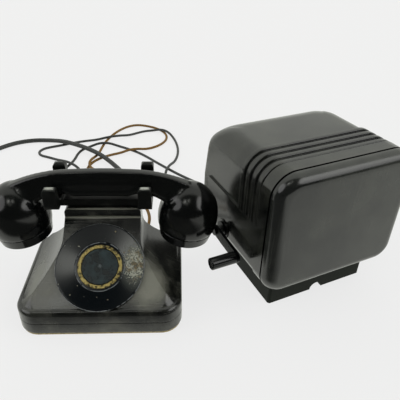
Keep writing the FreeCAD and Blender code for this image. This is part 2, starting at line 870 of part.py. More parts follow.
def induction_coil():
    half = coil_body_length / 2
    axis_z = chassis_top + coil_flange / 2
    coil = cylinder(coil_body_radius, coil_body_length, V(-half, induction_coil_y, axis_z), V(1, 0, 0))
    core = cylinder(coil_core_radius, coil_body_length + 2 * coil_core_proud,
                    V(-half - coil_core_proud, induction_coil_y, axis_z), V(1, 0, 0))
    flanges = [block(x, x + coil_flange_thickness, induction_coil_y - coil_flange / 2,
                     induction_coil_y + coil_flange / 2, chassis_top, chassis_top + coil_flange)
               for x in (-half, half - coil_flange_thickness)]
    return fuse([coil, core] + flanges)


def capacitor():
    width, depth, height = capacitor_size
    x, y = capacitor_place
    can = block(x, x + width, y, y + depth, chassis_top, chassis_top + height)
    return can.makeFillet(2.0, [e for e in can.Edges if abs(e.BoundBox.ZLength - height) < 0.01])


def strip_screw_places():
    width, depth, height = strip_size
    x, y = strip_place
    pitch = width / strip_screws
    return [V(x + pitch * (i + 0.5), y + depth / 2, chassis_top + height) for i in range(strip_screws)]


def terminal_strip():
    width, depth, height = strip_size
    x, y = strip_place
    strip = block(x, x + width, y, y + depth, chassis_top, chassis_top + height)
    screws = [cylinder(strip_screw_radius, strip_screw_proud, p) for p in strip_screw_places()]
    return fuse([strip] + screws)


def cord_exits():
    # x of each cord, its radius and the radius of the gland around it
    return [(18.0, handset_cord_radius, handset_cord_radius + gland_wall),
            (34.0, battery_cord_radius, battery_cord_radius + gland_wall),
            (50.0, link_cord_radius, link_cord_radius + gland_wall)]


def cord_glands():
    glands = []
    rear = -front_y
    for x, bore, sleeve in cord_exits():
        body = cylinder(sleeve, moulding_wall + gland_reach, V(x, rear - moulding_wall, cord_exit_height),
                        V(0, 1, 0))
        flange = cylinder(sleeve + gland_flange, gland_flange, V(x, rear, cord_exit_height), V(0, 1, 0))
        glands.append(body.fuse(flange).removeSplitter())
    return Part.makeCompound(glands)


# ---- handset ----

def cup_places():
    # x of each cup, and its lean about Y that turns the two faces toward each other
    return {"ear": (cup_spacing / 2, cup_tilt), "mouth": (-cup_spacing / 2, -cup_tilt)}


def in_cup(shape, end):
    # from the cup's own axis to its place at one end of the handle
    x, lean = cup_places()[end]
    pivot = V(0, 0, cup_pivot)
    about = FreeCAD.Rotation(V(0, 1, 0), lean)
    return placed(shape, V(x, neck_mid_y, 0) + pivot - about.multVec(pivot), about)


def cup_form():
    # outside of a cup above its cap, a curve turned about the cup's axis
    curve = Part.BSplineCurve()
    curve.interpolate([V(r, 0, z) for r, z in cup_section])
    points = cup_section
    edges = [curve.toShape(), line(V(0, 0, points[-1][1]), V(0, 0, points[0][1])),
             line(V(0, 0, points[0][1]), V(points[0][0], 0, points[0][1]))]
    return Part.Face(Part.Wire(edges)).revolve(V(0, 0, 0), up, 360)


def handle_section(x, top, bottom, top_width, bottom_width):
    y0, y1 = bottom_width / 2, top_width / 2
    corners = [V(x, neck_mid_y - y0, bottom), V(x, neck_mid_y + y0, bottom),
               V(x, neck_mid_y + y1, top), V(x, neck_mid_y - y1, top)]
    return rounded_polygon(corners, [handle_low_round, handle_low_round, handle_top_round, handle_top_round])


def handle_form():
    # the handle's ridge and underside fall away from the middle toward each cup
    sections = []
    for side in (-1, 1):
        half = []
        for x, ridge_fall, under_fall, top_width, bottom_width in handle_stations:
            half.append(handle_section(side * x, handle_top - ridge_fall, handle_bottom - under_fall,
                                       top_width, bottom_width))
        sections += reversed(half[1:]) if side < 0 else half
    return Part.makeLoft(sections, True, False)


def grommet_line():
    # where the grommet leaves the mouthpiece cup, and its direction outward
    angle = math.radians(grommet_angle)
    direction = V(-math.cos(angle), 0, -math.sin(angle))
    return V(-cup_bore + 2.0, 0, grommet_height + (cup_radius - cup_bore) * math.tan(angle)), direction


def handset_body():
    cups = [in_cup(cup_form(), end) for end in cup_places()]
    body = fuse([handle_form()] + cups)
    bores = [in_cup(cylinder(cup_bore, cup_bore_depth, V(0, 0, cup_bottom)), end) for end in cup_places()]
    start, direction = grommet_line()
    bores.append(in_cup(cylinder(grommet_bore, 2 * grommet_length, start, direction), "mouth"))
    return body.cut(bores)


def screw_cap(holes_radius, hole_count, face_dish):
    # cap of a cup: dished face with sound holes, and a spigot up into the cup
    spigot = cup_bore - cap_spigot_gap
    inner = spigot - cap_spigot_wall
    k = cap_round * (1 - math.sqrt(0.5))
    section = [(0, cap_face + face_dish), (cap_rim_radius - 2 * cap_round - 2.0, cap_face + face_dish),
               (cap_rim_radius - 2 * cap_round, cap_face), (cap_rim_radius - cap_round, cap_face),
               (cap_rim_radius - k, cap_face + k, "arc"), (cap_rim_radius, cap_face + cap_round),
               (cap_wall_radius, cup_bottom - seam_chamfer), (cap_wall_radius - seam_chamfer, cup_bottom),
               (spigot, cup_bottom), (spigot, cup_bottom + cap_spigot_length),
               (inner, cup_bottom + cap_spigot_length), (inner, cap_face + face_dish + cap_face_thickness),
               (0, cap_face + face_dish + cap_face_thickness)]
    cap = turned(section)
    depth = face_dish + cap_face_thickness + 1.0
    holes = [cylinder(cap_hole_radius, depth, V(0, 0, cap_face))]
    for i in range(hole_count):
        angle = 2 * math.pi * i / hole_count
        at = V(holes_radius * math.cos(angle), holes_radius * math.sin(angle), cap_face)
        holes.append(cylinder(cap_hole_radius, depth, at))
    return cap.cut(holes)


def ear_cap():
    return in_cup(screw_cap(earpiece_circle, earpiece_holes, earpiece_dish), "ear")


def mouthpiece_cap():
    return in_cup(screw_cap(mouthpiece_circle, mouthpiece_holes, mouthpiece_dish), "mouth")


def capsule(dish, end):
    # disc with a smaller back, held between the cap's face and the cup
    base = cap_face + dish + cap_face_thickness
    front = cylinder(capsule_radius, capsule_height / 2, V(0, 0, base))
    back = cylinder(capsule_radius * 0.8, capsule_height, V(0, 0, base))
    return in_cup(front.fuse(back).removeSplitter(), end)


def receiver_capsule():
    return capsule(earpiece_dish, "ear")


def transmitter_capsule():
    return capsule(mouthpiece_dish, "mouth")


def handset_grommet():
    start, direction = grommet_line()
    inside = cup_radius - cup_bore + 2.0
    plug = cylinder(grommet_bore, inside, start, direction)
    sleeve = Part.makeCone(grommet_bore + gland_wall, grommet_bore, grommet_length, start + direction * inside,
                           direction)
    grommet = in_cup(plug.fuse(sleeve), "mouth")
    cups = in_cup(cup_form().cut(cylinder(cup_bore, cup_bore_depth, V(0, 0, cup_bottom))), "mouth")
    bore = in_cup(cylinder(grommet_bore, 2 * grommet_length, start, direction), "mouth")
    return grommet.cut(cups.cut(bore)).removeSplitter()


# ---- cabinet, in its own frame ----

def case_top(inset, y):
    # level at the seam and falling from there to the rear
    fall = case_fall * max(y - case_front, 0) / case_depth
    return case_bottom + case_height - inset - fall


def case_wire(inset, y, floor=0.0):
    # front view of the case, inset from its band, standing on its flat underside
    x = case_width / 2 - inset
    low, high = case_bottom + floor, case_top(inset, y)
    low_radius, high_radius = case_bottom_radius - inset, case_top_radius - inset
    corners = [V(-x, y, low), V(x, y, low), V(x, y, high), V(-x, y, high)]
    return rounded_polygon(corners, [low_radius, low_radius, high_radius, high_radius])


def case_prism(inset, y0, y1, floor=0.0):
    return Part.Face(case_wire(inset, y0, floor)).extrude(V(0, y1 - y0, 0))


def case_body(wall, floor=0.0):
    # the case behind its seam, with the rounding of its rear; wall is measured inward from its outside
    inset = relief + wall
    rear = case_front + case_depth - wall
    half = case_width / 2 - inset
    low = case_bottom + floor
    length = Part.makeLoft([case_wire(inset, case_front, floor), case_wire(inset, rear, floor)], True, True)
    corners = [V(-half, case_front, low), V(-half, rear, low), V(-half, rear, case_top(inset, rear)),
               V(-half, case_front, case_top(inset, case_front))]
    radii = [0, case_rear_low_radius - wall, case_rear_top_radius - wall, 0]
    profile = Part.Face(rounded_polygon(corners, radii)).extrude(V(2 * half, 0, 0))
    if case_rear_radius > wall:
        ends = [e for e in profile.Edges
                if e.BoundBox.XLength < 0.01 and e.BoundBox.YMax > case_front + 0.01 and e.BoundBox.ZMax > low + 0.01]
        profile = profile.makeFillet(case_rear_radius - wall, ends)
    return length.common(profile)


def plinth():
    half = plinth_width / 2
    body = block(-half, half, 0, plinth_depth, 0, plinth_height)
    corners = [e for e in body.Edges if abs(e.BoundBox.ZLength - plinth_height) < 0.01]
    body = body.makeFillet(plinth_corner, corners)
    hollow = block(-half + plinth_wall, half - plinth_wall, plinth_wall, plinth_depth - plinth_wall,
                   0, plinth_height - plinth_top)
    notch = cylinder(notch_radius, plinth_depth, V(0, 0, 0), V(0, 1, 0))
    screws = [cylinder(plinth_screw_radius, plinth_top, p + V(0, 0, plinth_height - plinth_top))
              for p in plinth_screw_places()]
    return in_cabinet(body.cut([hollow, notch] + screws))


def plinth_screw_places():
    x = plinth_width / 2 - plinth_screw_inset
    return [V(i * x, y, 0) for i in (-1, 1) for y in (plinth_screw_inset, plinth_depth - plinth_screw_inset)]


def plinth_screws():
    screws = []
    bottom = plinth_height - plinth_top
    length = plinth_top + case_wall
    for place in plinth_screw_places():
        shank = cylinder(plinth_screw_radius, length, place + V(0, 0, bottom))
        head = cylinder(plinth_screw_head_radius, plinth_screw_head, place + V(0, 0, bottom - plinth_screw_head))
        screws.append(shank.fuse(head).removeSplitter())
    return in_cabinet(Part.makeCompound(screws))


def cord_block():
    # rubber block that fills the rear notch round the link cord
    disc = cylinder(notch_radius, plinth_wall, V(0, plinth_depth - plinth_wall, 0), V(0, 1, 0))
    above = block(-notch_radius, notch_radius, 0, 2 * plinth_depth, cord_block_clearance, 2 * notch_radius)
    return in_cabinet(disc.common(above))


def box_shell():
    rear = case_front + case_depth
    body = case_body(0)
    band = case_prism(0, case_front, case_front + band_depth)
    band = band.makeChamfer(seam_chamfer, edges_at_y(band, case_front))
    band = band.makeFillet(rib_round, [e for e in edges_at_y(band, case_front + band_depth)])
    ribs = []
    for i in range(rib_count):
        y0 = case_front + rib_first + i * rib_pitch - rib_width / 2
        rib = case_prism(0, y0, y0 + rib_width)
        rib = rib.makeFillet(rib_round, edges_at_y(rib, y0) + edges_at_y(rib, y0 + rib_width))
        half = case_width
        ribs.append(rib.common(block(-half, half, y0 - 1, y0 + rib_width + 1, case_bottom + panel_top,
                                     case_bottom + 2 * case_height)))
    half = case_width / 2
    panels = []
    for x0, x1 in ((-half, -half + 2 * relief), (half - 2 * relief, half)):
        panels.append(block(x0, x1, case_front + band_depth / 2, rear - panel_end,
                            case_bottom + panel_bottom, case_bottom + panel_top))
    boss = cylinder(crank_boss_radius, 2 * (case_wall + relief) + crank_boss_proud,
                    V(wall_x - crank_boss_proud, crank_y, crank_z), V(1, 0, 0))
    body = fuse([body, band] + ribs + panels + [boss])
    hollow = case_body(case_wall, case_wall)
    bore = cylinder(crank_shaft_radius + stem_fit + crank_bush_wall, case_width / 2,
                    V(wall_x - case_wall, crank_y, crank_z), V(1, 0, 0))
    screws = [cylinder(plinth_screw_radius, case_wall, p + V(0, 0, case_bottom)) for p in plinth_screw_places()]
    return in_cabinet(body.cut([hollow, bore] + screws))


def box_cover():
    front = case_front - cover_depth
    cover = case_prism(0, front, case_front)
    cover = cover.makeFillet(cover_edge_radius, edges_at_y(cover, front))
    cover = cover.makeChamfer(seam_chamfer, edges_at_y(cover, case_front))
    lip_outer = relief + case_wall + cover_lip_gap
    lip_inner = lip_outer + case_wall
    lip = case_prism(lip_outer, case_front, case_front + cover_lip, case_wall + cover_lip_gap)
    hollow = case_prism(lip_inner, front + case_wall, case_front + cover_lip, 2 * case_wall + cover_lip_gap)
    return in_cabinet(cover.fuse(lip).removeSplitter().cut(hollow))


# ---- generator, in the cabinet's frame ----

def gear(teeth, thickness, x0, y, z, bore, phase):
    # straight-sided teeth with their pitch circle at module x teeth / 2, axis along X
    pitch = gear_module * teeth / 2
    tip, root = pitch + gear_module, pitch - 1.25 * gear_module
    step = 2 * math.pi / teeth
    points = []
    for i in range(teeth):
        middle = phase + i * step
        for radius, side in ((root, -root_share), (tip, -tip_share), (tip, tip_share), (root, root_share)):
            angle = middle + side * step
            points.append(V(x0, y + radius * math.cos(angle), z + radius * math.sin(angle)))
    wheel = polygon(points).extrude(V(thickness, 0, 0))
    return wheel.cut(cylinder(bore, thickness, V(x0, y, z), V(1, 0, 0)))


def gear_x():
    return inner_wall_x + gear_from_wall


def plate_x():
    # inner faces of the two end plates
    first = gear_x() + gear_thickness + generator_gap + end_plate_thickness
    return first, first + generator_length - 2 * end_plate_thickness


def drive_gear():
    wheel = gear(gear_teeth, gear_thickness, gear_x(), crank_y, crank_z, crank_shaft_radius,
                 math.radians(mesh_angle))
    return in_cabinet(wheel)


def pinion():
    turn = math.radians(mesh_angle) + math.pi + math.pi / pinion_teeth
    wheel = gear(pinion_teeth, gear_thickness, gear_x(), armature_y, armature_z, armature_shaft_radius, turn)
    return in_cabinet(wheel)


def crank_shaft():
    x0 = arm_x()
    x1 = plate_x()[0] - end_plate_thickness / 2
    return in_cabinet(cylinder(crank_shaft_radius, x1 - x0, V(x0, crank_y, crank_z), V(1, 0, 0)))


def crank_bush():
    face = wall_x - crank_boss_proud
    outer = crank_shaft_radius + stem_fit + crank_bush_wall
    body = cylinder(outer, inner_wall_x - face, V(face, crank_y, crank_z), V(1, 0, 0))
    flange = cylinder(bush_flange_radius, crank_bush_flange, V(face - crank_bush_flange, crank_y, crank_z),
                      V(1, 0, 0))
    bore = cylinder(crank_shaft_radius + stem_fit, case_width, V(-case_width, crank_y, crank_z), V(1, 0, 0))
    return in_cabinet(body.fuse(flange).removeSplitter().cut(bore))


def arm_x():
    # outer face of the crank arm
    return wall_x - crank_boss_proud - crank_bush_flange - crank_arm_gap - crank_arm_thickness


def cranked(shape):
    # turned about the crank's axle to where the arm rests, and placed in the cabinet
    pivot = V(0, crank_y, crank_z)
    rest = FreeCAD.Rotation(V(1, 0, 0), crank_rest)
    return in_cabinet(placed(shape, pivot - rest.multVec(pivot), rest))


def crank_arm():
    x0 = arm_x()
    half = crank_arm_width / 2
    y_grip = crank_y - crank_length
    bar = block(x0, x0 + crank_arm_thickness, y_grip, crank_y, crank_z - half, crank_z + half)
    ends = [cylinder(half, crank_arm_thickness, V(x0, y, crank_z), V(1, 0, 0)) for y in (y_grip, crank_y)]
    arm = fuse([bar] + ends)
    holes = [cylinder(crank_shaft_radius, crank_arm_thickness, V(x0, crank_y, crank_z), V(1, 0, 0)),
             cylinder(handle_pin_radius, crank_arm_thickness, V(x0, y_grip, crank_z), V(1, 0, 0))]
    return cranked(arm.cut(holes))


def crank_nut():
    corners = []
    for i in range(6):
        angle = math.radians(60 * i)
        corners.append(V(arm_x(), crank_y + crank_nut_across / math.sqrt(3) * math.cos(angle),
                         crank_z + crank_nut_across / math.sqrt(3) * math.sin(angle)))
    return cranked(polygon(corners).extrude(V(-crank_nut_height, 0, 0)))


def handle_pin():
    y = crank_y - crank_length
    reach = handle_length + 2 * handle_end_gap - handle_recess
    shank = cylinder(handle_pin_radius, crank_arm_thickness + reach,
                     V(arm_x() + crank_arm_thickness, y, crank_z), V(-1, 0, 0))
    head = cylinder(handle_head_radius, handle_head, V(arm_x() - reach, y, crank_z), V(-1, 0, 0))
    return cranked(shank.fuse(head).removeSplitter())


def crank_handle():
    y = crank_y - crank_length
    start = arm_x() - handle_end_gap
    grip = cylinder(handle_radius, handle_length, V(start, y, crank_z), V(-1, 0, 0))
    end = start - handle_length
    rims = [e for e in grip.Edges if abs(e.BoundBox.XMin - end) < 0.01 and abs(e.BoundBox.XMax - end) < 0.01]
    grip = grip.makeFillet(handle_end_round, rims)
    bore = cylinder(handle_pin_radius + stem_fit, handle_length, V(start, y, crank_z), V(-1, 0, 0))
    recess = cylinder(handle_head_radius + handle_end_gap, handle_recess, V(end, y, crank_z), V(1, 0, 0))
    return cranked(grip.cut([bore, recess]))


def generator_bed():
    x0, x1 = plate_x()
    floor = case_bottom + case_wall
    half = generator_half_depth
    bed = block(x0, x1, armature_y - half, armature_y + half, floor, floor + bed_height)
    return in_cabinet(bed)


def generator_plates():
    x0, x1 = plate_x()
    floor = case_bottom + case_wall
    top = armature_z + end_plate_above
    half = generator_half_depth
    plates = []
    for x in (x0 - end_plate_thickness, x1):
        plate = block(x, x + end_plate_thickness, armature_y - half, armature_y + half, floor, top)
        uprights = [e for e in edges_at(plate, top) if abs(e.BoundBox.XLength - end_plate_thickness) < 0.01]
        plate = plate.makeFillet(end_plate_round, uprights)
        bores = [cylinder(armature_shaft_radius + bearing_fit, case_width,
                          V(-case_width / 2, armature_y, armature_z), V(1, 0, 0))]
        if x < x0:
            bores.append(cylinder(crank_shaft_radius + bearing_fit, case_width,
                                  V(-case_width / 2, crank_y, crank_z), V(1, 0, 0)))
        plates.append(plate.cut(bores))
    return in_cabinet(Part.makeCompound(plates))


def armature_form(x0, x1):
    return cylinder(armature_radius, x1 - x0, V(x0, armature_y, armature_z), V(1, 0, 0))


def armature_slots(x0, x1, depth):
    # the two slots of an H armature, at its front and rear
    half = armature_slot / 2
    web = armature_radius - depth
    slots = []
    for y0, y1 in ((-2 * armature_radius, -web), (web, 2 * armature_radius)):
        slots.append(block(x0, x1, armature_y + y0, armature_y + y1, armature_z - half, armature_z + half))
    return slots


def armature_core():
    x0, x1 = plate_x()
    x0, x1 = x0 + armature_end_gap, x1 - armature_end_gap
    core = armature_form(x0, x1).cut(armature_slots(x0, x1, armature_slot_depth))
    return in_cabinet(core.cut(cylinder(armature_shaft_radius, x1 - x0, V(x0, armature_y, armature_z),
                                        V(1, 0, 0))))


def armature_winding():
    x0, x1 = plate_x()
    x0, x1 = x0 + armature_end_gap, x1 - armature_end_gap
    inside = cylinder(armature_radius - winding_below, x1 - x0, V(x0, armature_y, armature_z), V(1, 0, 0))
    return in_cabinet(Part.makeCompound([slot.common(inside)
                                         for slot in armature_slots(x0, x1, armature_slot_depth)]))


def armature_shaft():
    x0 = gear_x() - handle_head
    x1 = plate_x()[1] + end_plate_thickness
    return in_cabinet(cylinder(armature_shaft_radius, x1 - x0, V(x0, armature_y, armature_z), V(1, 0, 0)))


def magnets():
    inner = armature_radius + magnet_gap
    outer = inner + magnet_thickness
    base = case_bottom + case_wall + bed_height
    bend = base + magnet_leg
    x0, x1 = plate_x()
    first = (x0 + x1) / 2 - (magnet_count - 1) * magnet_pitch / 2 - magnet_width / 2
    shapes = []
    for i in range(magnet_count):
        x = first + i * magnet_pitch
        legs = [block(x, x + magnet_width, armature_y + a, armature_y + b, base, bend)
                for a, b in ((-outer, -inner), (inner, outer))]
        arch = tube(outer, inner, magnet_width, V(x, armature_y, bend), V(1, 0, 0))
        arch = arch.common(block(x, x + magnet_width, 0, 2 * case_depth, bend, 2 * case_height))
        shapes.append(fuse([arch] + legs))
    return in_cabinet(Part.makeCompound(shapes))


# ---- bell, in the cabinet's frame ----

def gong_heights():
    return [bell_z - gong_drop, bell_z + gong_drop]


def gongs():
    shapes = []
    bottom = gong_depth
    for z in gong_heights():
        section = [(0, bottom), (gong_radius - gong_depth, bottom),
                   (gong_radius - 0.3 * gong_depth, 0.7 * bottom, "arc"), (gong_radius, 0),
                   (gong_radius - gong_wall, 0),
                   (gong_radius - 0.3 * gong_depth - gong_wall, 0.7 * bottom - gong_wall, "arc"),
                   (gong_radius - gong_depth, bottom - gong_wall), (0, bottom - gong_wall)]
        gong = turned(section).cut(cylinder(gong_screw_radius, gong_depth, V(0, 0, 0)))
        shapes.append(placed(gong, V(gong_x, gong_y + gong_depth, z), FreeCAD.Rotation(V(1, 0, 0), 90)))
    return in_cabinet(Part.makeCompound(shapes))


def gong_posts():
    posts = []
    back = gong_y + gong_wall
    for z in gong_heights():
        post = cylinder(gong_post_radius, ringer_plate_y - back, V(gong_x, back, z), V(0, 1, 0))
        screw = cylinder(gong_screw_radius, gong_wall, V(gong_x, gong_y, z), V(0, 1, 0))
        head = cylinder(gong_post_radius, gong_wall, V(gong_x, gong_y - gong_wall, z), V(0, 1, 0))
        posts.append(fuse([post, screw, head]))
    return in_cabinet(Part.makeCompound(posts))


def lug_x():
    half = rocker_width / 2 + pivot_gap
    return [gong_x - half - lug_thickness, gong_x + half]


def ringer_frame():
    floor = case_bottom + case_wall
    top = bell_z + gong_drop + gong_radius
    y0 = ringer_plate_y
    plate = block(gong_x - ringer_plate_width / 2, gong_x + ringer_plate_width / 2, y0,
                  y0 + ringer_plate_thickness, floor, top)
    plate = plate.common(case_prism(relief + case_wall + ringer_plate_gap, y0,
                                    y0 + ringer_plate_thickness, case_wall))
    lugs = []
    for x in lug_x():
        lug = block(x, x + lug_thickness, y0 + ringer_plate_thickness, pivot_y() + lug_round, bell_z - lug_round,
                    bell_z + lug_round)
        lugs.append(lug)
    body = fuse([plate] + lugs)
    window = block(gong_x - clapper_window, gong_x + clapper_window, y0, y0 + ringer_plate_thickness,
                   bell_z - clapper_window, bell_z + clapper_window)
    x0, x1 = lug_x()
    pin = cylinder(pivot_radius, x1 - x0, V(x0, pivot_y(), bell_z), V(1, 0, 0))
    return in_cabinet(body.cut(window).fuse(pin).removeSplitter())


def pivot_y():
    return ringer_plate_y + ringer_plate_thickness + pivot_set_back


def clapper():
    y = pivot_y()
    rocker = block(gong_x - rocker_width / 2, gong_x + rocker_width / 2, y - rocker_thickness / 2,
                   y + rocker_thickness / 2, bell_z - rocker_length / 2, bell_z + rocker_length / 2)
    ball = Part.makeSphere(clapper_radius, V(gong_x, y - clapper_reach, bell_z))
    rod = cylinder(clapper_rod_radius, clapper_reach, V(gong_x, y - clapper_reach, bell_z), V(0, 1, 0))
    bore = cylinder(pivot_radius + bearing_fit, case_width, V(0, y, bell_z), V(1, 0, 0))
    return in_cabinet(fuse([rocker, rod, ball]).cut(bore))


def coil_heights():
    return [bell_z - coil_spacing / 2, bell_z + coil_spacing / 2]


def coil_y():
    return pivot_y() + rocker_thickness / 2 + pole_gap + core_proud


def ringer_coils():
    shapes = []
    for z in coil_heights():
        coil = tube(coil_radius, core_radius, coil_length, V(gong_x, coil_y(), z), V(0, 1, 0))
        shapes.append(coil)
    return in_cabinet(Part.makeCompound(shapes))


def ringer_cores():
    # the two cores with the yoke behind them and the stays to the frame
    start = coil_y() - core_proud
    back = coil_y() + coil_length
    shapes = [cylinder(core_radius, back - start, V(gong_x, start, z), V(0, 1, 0)) for z in coil_heights()]
    half = coil_spacing / 2 + coil_radius + 2 * stay_radius + stay_gap
    shapes.append(block(gong_x - core_radius - 2, gong_x + core_radius + 2, back, back + yoke_thickness,
                        bell_z - half - stay_radius, bell_z + half + stay_radius))
    frame_back = ringer_plate_y + ringer_plate_thickness
    for z in (bell_z - half + stay_radius, bell_z + half - stay_radius):
        shapes.append(cylinder(stay_radius, back - frame_back, V(gong_x, frame_back, z), V(0, 1, 0)))
    return in_cabinet(fuse(shapes))


def terminal_block():
    width, depth, height = cabinet_strip_size
    x, y = cabinet_strip_place
    floor = case_bottom + case_wall
    strip = block(x, x + width, y, y + depth, floor, floor + height)
    studs = [cylinder(strip_screw_radius, strip_screw_proud, V(x + width * (i + 0.5) / 4, y + depth / 2, floor + height))
             for i in range(4)]
    return in_cabinet(fuse([strip] + studs))


# ---- cords ----

handset_cord_route = [
    (18, 66, 7.0), (18, 81, 7.0), (20, 100, 4.4), (20, 123, 3.6), (16, 146, 4.6), (12, 167, 8.3),
    (9, 189, 8.3), (4, 211, 4.6), (-5, 232, 3.6), (-15, 250, 3.6), (-29, 268, 5.6), (-46, 286, 8.4),
    (-67, 305, 8.4), (-90, 321, 8.4), (-115, 334, 8.2), (-140, 344, 4.6), (-166, 346, 3.6),
    (-192, 337, 3.6), (-214, 317, 3.6), (-232, 291, 3.6), (-245, 260, 3.6), (-251, 227, 3.6),
    (-250, 193, 3.6), (-243, 160, 3.6), (-231, 128, 3.6), (-215, 98, 3.6), (-196, 71, 4.8),
    (-176, 50, 11.0), (-160, 37, 22.5), (-147.5, 29, 36.6), (-134.83, 25.5, 49.24), (-122.4, 25.5, 60.83),
]
link_cord_route = [
    (50, 66, 7.0), (50, 79, 7.0), (54, 95, 4.6), (61, 113, 2.3), (67, 133, 2.1), (67, 157, 2.1),
    (61.2, 182, 2.1), (57, 206, 2.1), (55, 227, 2.4), (57, 243, 6.4), (62, 258, 6.4), (69, 274, 2.4),
    (74, 295, 2.1), (75, 318, 2.1), (72, 341, 2.1), (67, 360, 2.4), (58, 375, 6.4), (45, 386, 6.4),
    (31, 389, 2.6), (16, 387, 2.1), (3, 379, 2.1), (-10, 369, 2.6), (-25, 359.5, 6.6), (-44, 353.5, 6.6),
    (-63, 351, 2.4), (-82, 347, 2.1), (-100, 340, 2.1), (-117, 331, 2.1), (-132, 324.8, 2.1),
    (-144, 318.5, 2.1), (-149, 307, 2.1), (-144, 295.5, 2.1), (-130, 289.5, 2.1), (-113, 280, 2.4),
    (-98, 269, 6.4), (-84, 259, 6.4), (-74, 250, 3.2), (-69.5, 238, 2.1), (-74, 226, 2.1),
    (-85, 220.5, 2.1), (-96.5, 225, 2.1), (-101.5, 237, 2.1), (-98, 252, 2.1), (-91, 267, 2.1),
    (-87, 284, 2.1), (-86, 301, 2.1), (-81, 316, 2.1), (-70, 326, 2.4), (-56, 331, 6.4),
    (-40, 332, 6.4), (-24, 328, 2.6), (-9, 320, 2.1), (7, 309, 2.1), (23, 294, 2.1), (39.6, 274.8, 2.1),
    (55, 258, 2.1), (72, 240, 2.1), (90, 223, 2.1), (108, 208, 2.1), (125, 192, 2.1), (140, 173, 2.1),
    (151, 157, 2.2), (160, 141, 2.7), (168.5, 128, 3.4), (174.94, 114.96, 3.5), (180.34, 102.04, 3.5),
]
battery_cord_route = [
    (34, 66, 7.0), (34, 79, 7.0), (37, 93, 4.8), (43, 108, 2.4), (46, 125, 2.1), (42, 141, 2.1),
    (33, 155, 2.1), (21, 168, 2.1), (7, 180, 2.1), (-9, 193, 2.1), (-27, 206, 2.1), (-44, 219, 2.1),
    (-57, 232, 2.1), (-63, 247, 2.1), (-62, 262, 2.1), (-57, 276, 2.1), (-47, 288, 2.1), (-33, 298, 2.1),
    (-17, 304, 2.8), (-4, 308, 6.4), (9, 311, 6.4), (23, 317, 2.8), (37, 326, 2.1), (48, 338, 2.1),
    (55, 353, 2.1), (55, 371, 2.1), (48, 387, 2.1), (35, 400, 2.1), (18, 409, 2.1), (1, 413, 2.1),
    (-14, 407, 2.1), (-26, 394, 2.1), (-35, 379, 2.1), (-42, 362, 2.1), (-47, 345, 2.1), (-50, 328, 2.1),
    (-51.5, 312, 2.1), (-54, 298, 2.2), (-57, 286, 4.2), (-60, 275, 6.5), (-61.5, 263, 6.5),
    (-58, 252, 5.2), (-50, 244.5, 5.1), (-40, 240, 5.1),
]


def cord_path(route):
    # straight runs joined by tangent arcs, and the tightest arc's radius
    points = [V(*p) for p in route]
    edges = []
    start = points[0]
    tightest = math.inf
    for before, corner, after in zip(points, points[1:], points[2:]):
        back = before - corner
        ahead = after - corner
        reach = arc_share * min(back.Length, ahead.Length)
        back.normalize()
        ahead.normalize()
        half = back.getAngle(ahead) / 2
        radius = reach * math.tan(half)
        tightest = min(tightest, radius)
        toward = back + ahead
        toward.normalize()
        first = corner + back * reach
        last = corner + ahead * reach
        edges.append(line(start, first))
        edges.append(arc(first, corner + toward * (radius / math.sin(half) - radius), last))
        start = last
    edges.append(line(start, points[-1]))
    return Part.Wire(edges), tightest


def cord_tube(name, route, radius):
    path, tightest = cord_path(route)
    first = V(*route[0])
    ring = Part.Wire(Part.makeCircle(radius, first, V(*route[1]) - first))
    swept = path.makePipeShell([ring], True, False)
    expected = math.pi * radius ** 2 * path.Length
    print(f"{name}: length {path.Length:.0f} mm, tightest bend {tightest:.1f} mm, "
          f"volume {swept.Volume / expected:.4f} of section x length")
    return swept


def handset_cord():
    return cord_tube("handset_cord", handset_cord_route, handset_cord_radius)


def link_cord():
    return cord_tube("link_cord", link_cord_route, link_cord_radius)


def battery_cord():
    return cord_tube("battery_cord", battery_cord_route, battery_cord_radius)


def line_plug():
    # two-pin plug lying on the table at the end of the battery cord
    end = V(*battery_cord_route[-1])
    ahead = end - V(*battery_cord_route[-2])
    radius = plug_radius
    neck = battery_cord_radius + gland_wall
    body = turned([(0, 0), (neck, 0), (radius, plug_taper), (radius, plug_length - cap_round),
                   (radius - cap_round * (1 - math.sqrt(0.5)), plug_length - cap_round * (1 - math.sqrt(0.5)), "arc"),
                   (radius - cap_round, plug_length), (0, plug_length)])
    plug = [body] + [cylinder(plug_pin_radius, plug_pin_length, V(0, side * plug_pin_spacing / 2, plug_length))
                     for side in (-1, 1)]
    return placed(fuse(plug), end, FreeCAD.Rotation(up, ahead))


pieces = [
    base_pad, base_tray, base_screws, housing, dial_blank, dial_ring, dial_centre, dial_screw, dial_clamp,
    dial_clamp_screws, neck_cap, cap_screw, fork_bushes, cradle_fork, fork_stems, fork_link, chassis_plate,
    contact_bracket, contact_springs, contact_pile, induction_coil, capacitor,
    terminal_strip, cord_glands, handset_body, ear_cap, mouthpiece_cap, receiver_capsule,
    transmitter_capsule, handset_grommet, plinth, plinth_screws, cord_block, box_shell, box_cover,
    crank_bush, crank_shaft, crank_arm, crank_nut, handle_pin, crank_handle, drive_gear, pinion,
    generator_bed, generator_plates, armature_core, armature_winding, armature_shaft, magnets, gongs, gong_posts,
    ringer_frame, clapper, ringer_coils, ringer_cores, terminal_block, handset_cord, link_cord, battery_cord, line_plug,
]

os.makedirs("parts", exist_ok=True)
for piece in pieces:
    piece().exportStep(f"parts/{piece.__name__}.step")
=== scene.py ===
# Looks for a desk telephone and the generator cabinet that stands beside it.
import bmesh
import bpy
import math
from mathutils import Matrix, Vector


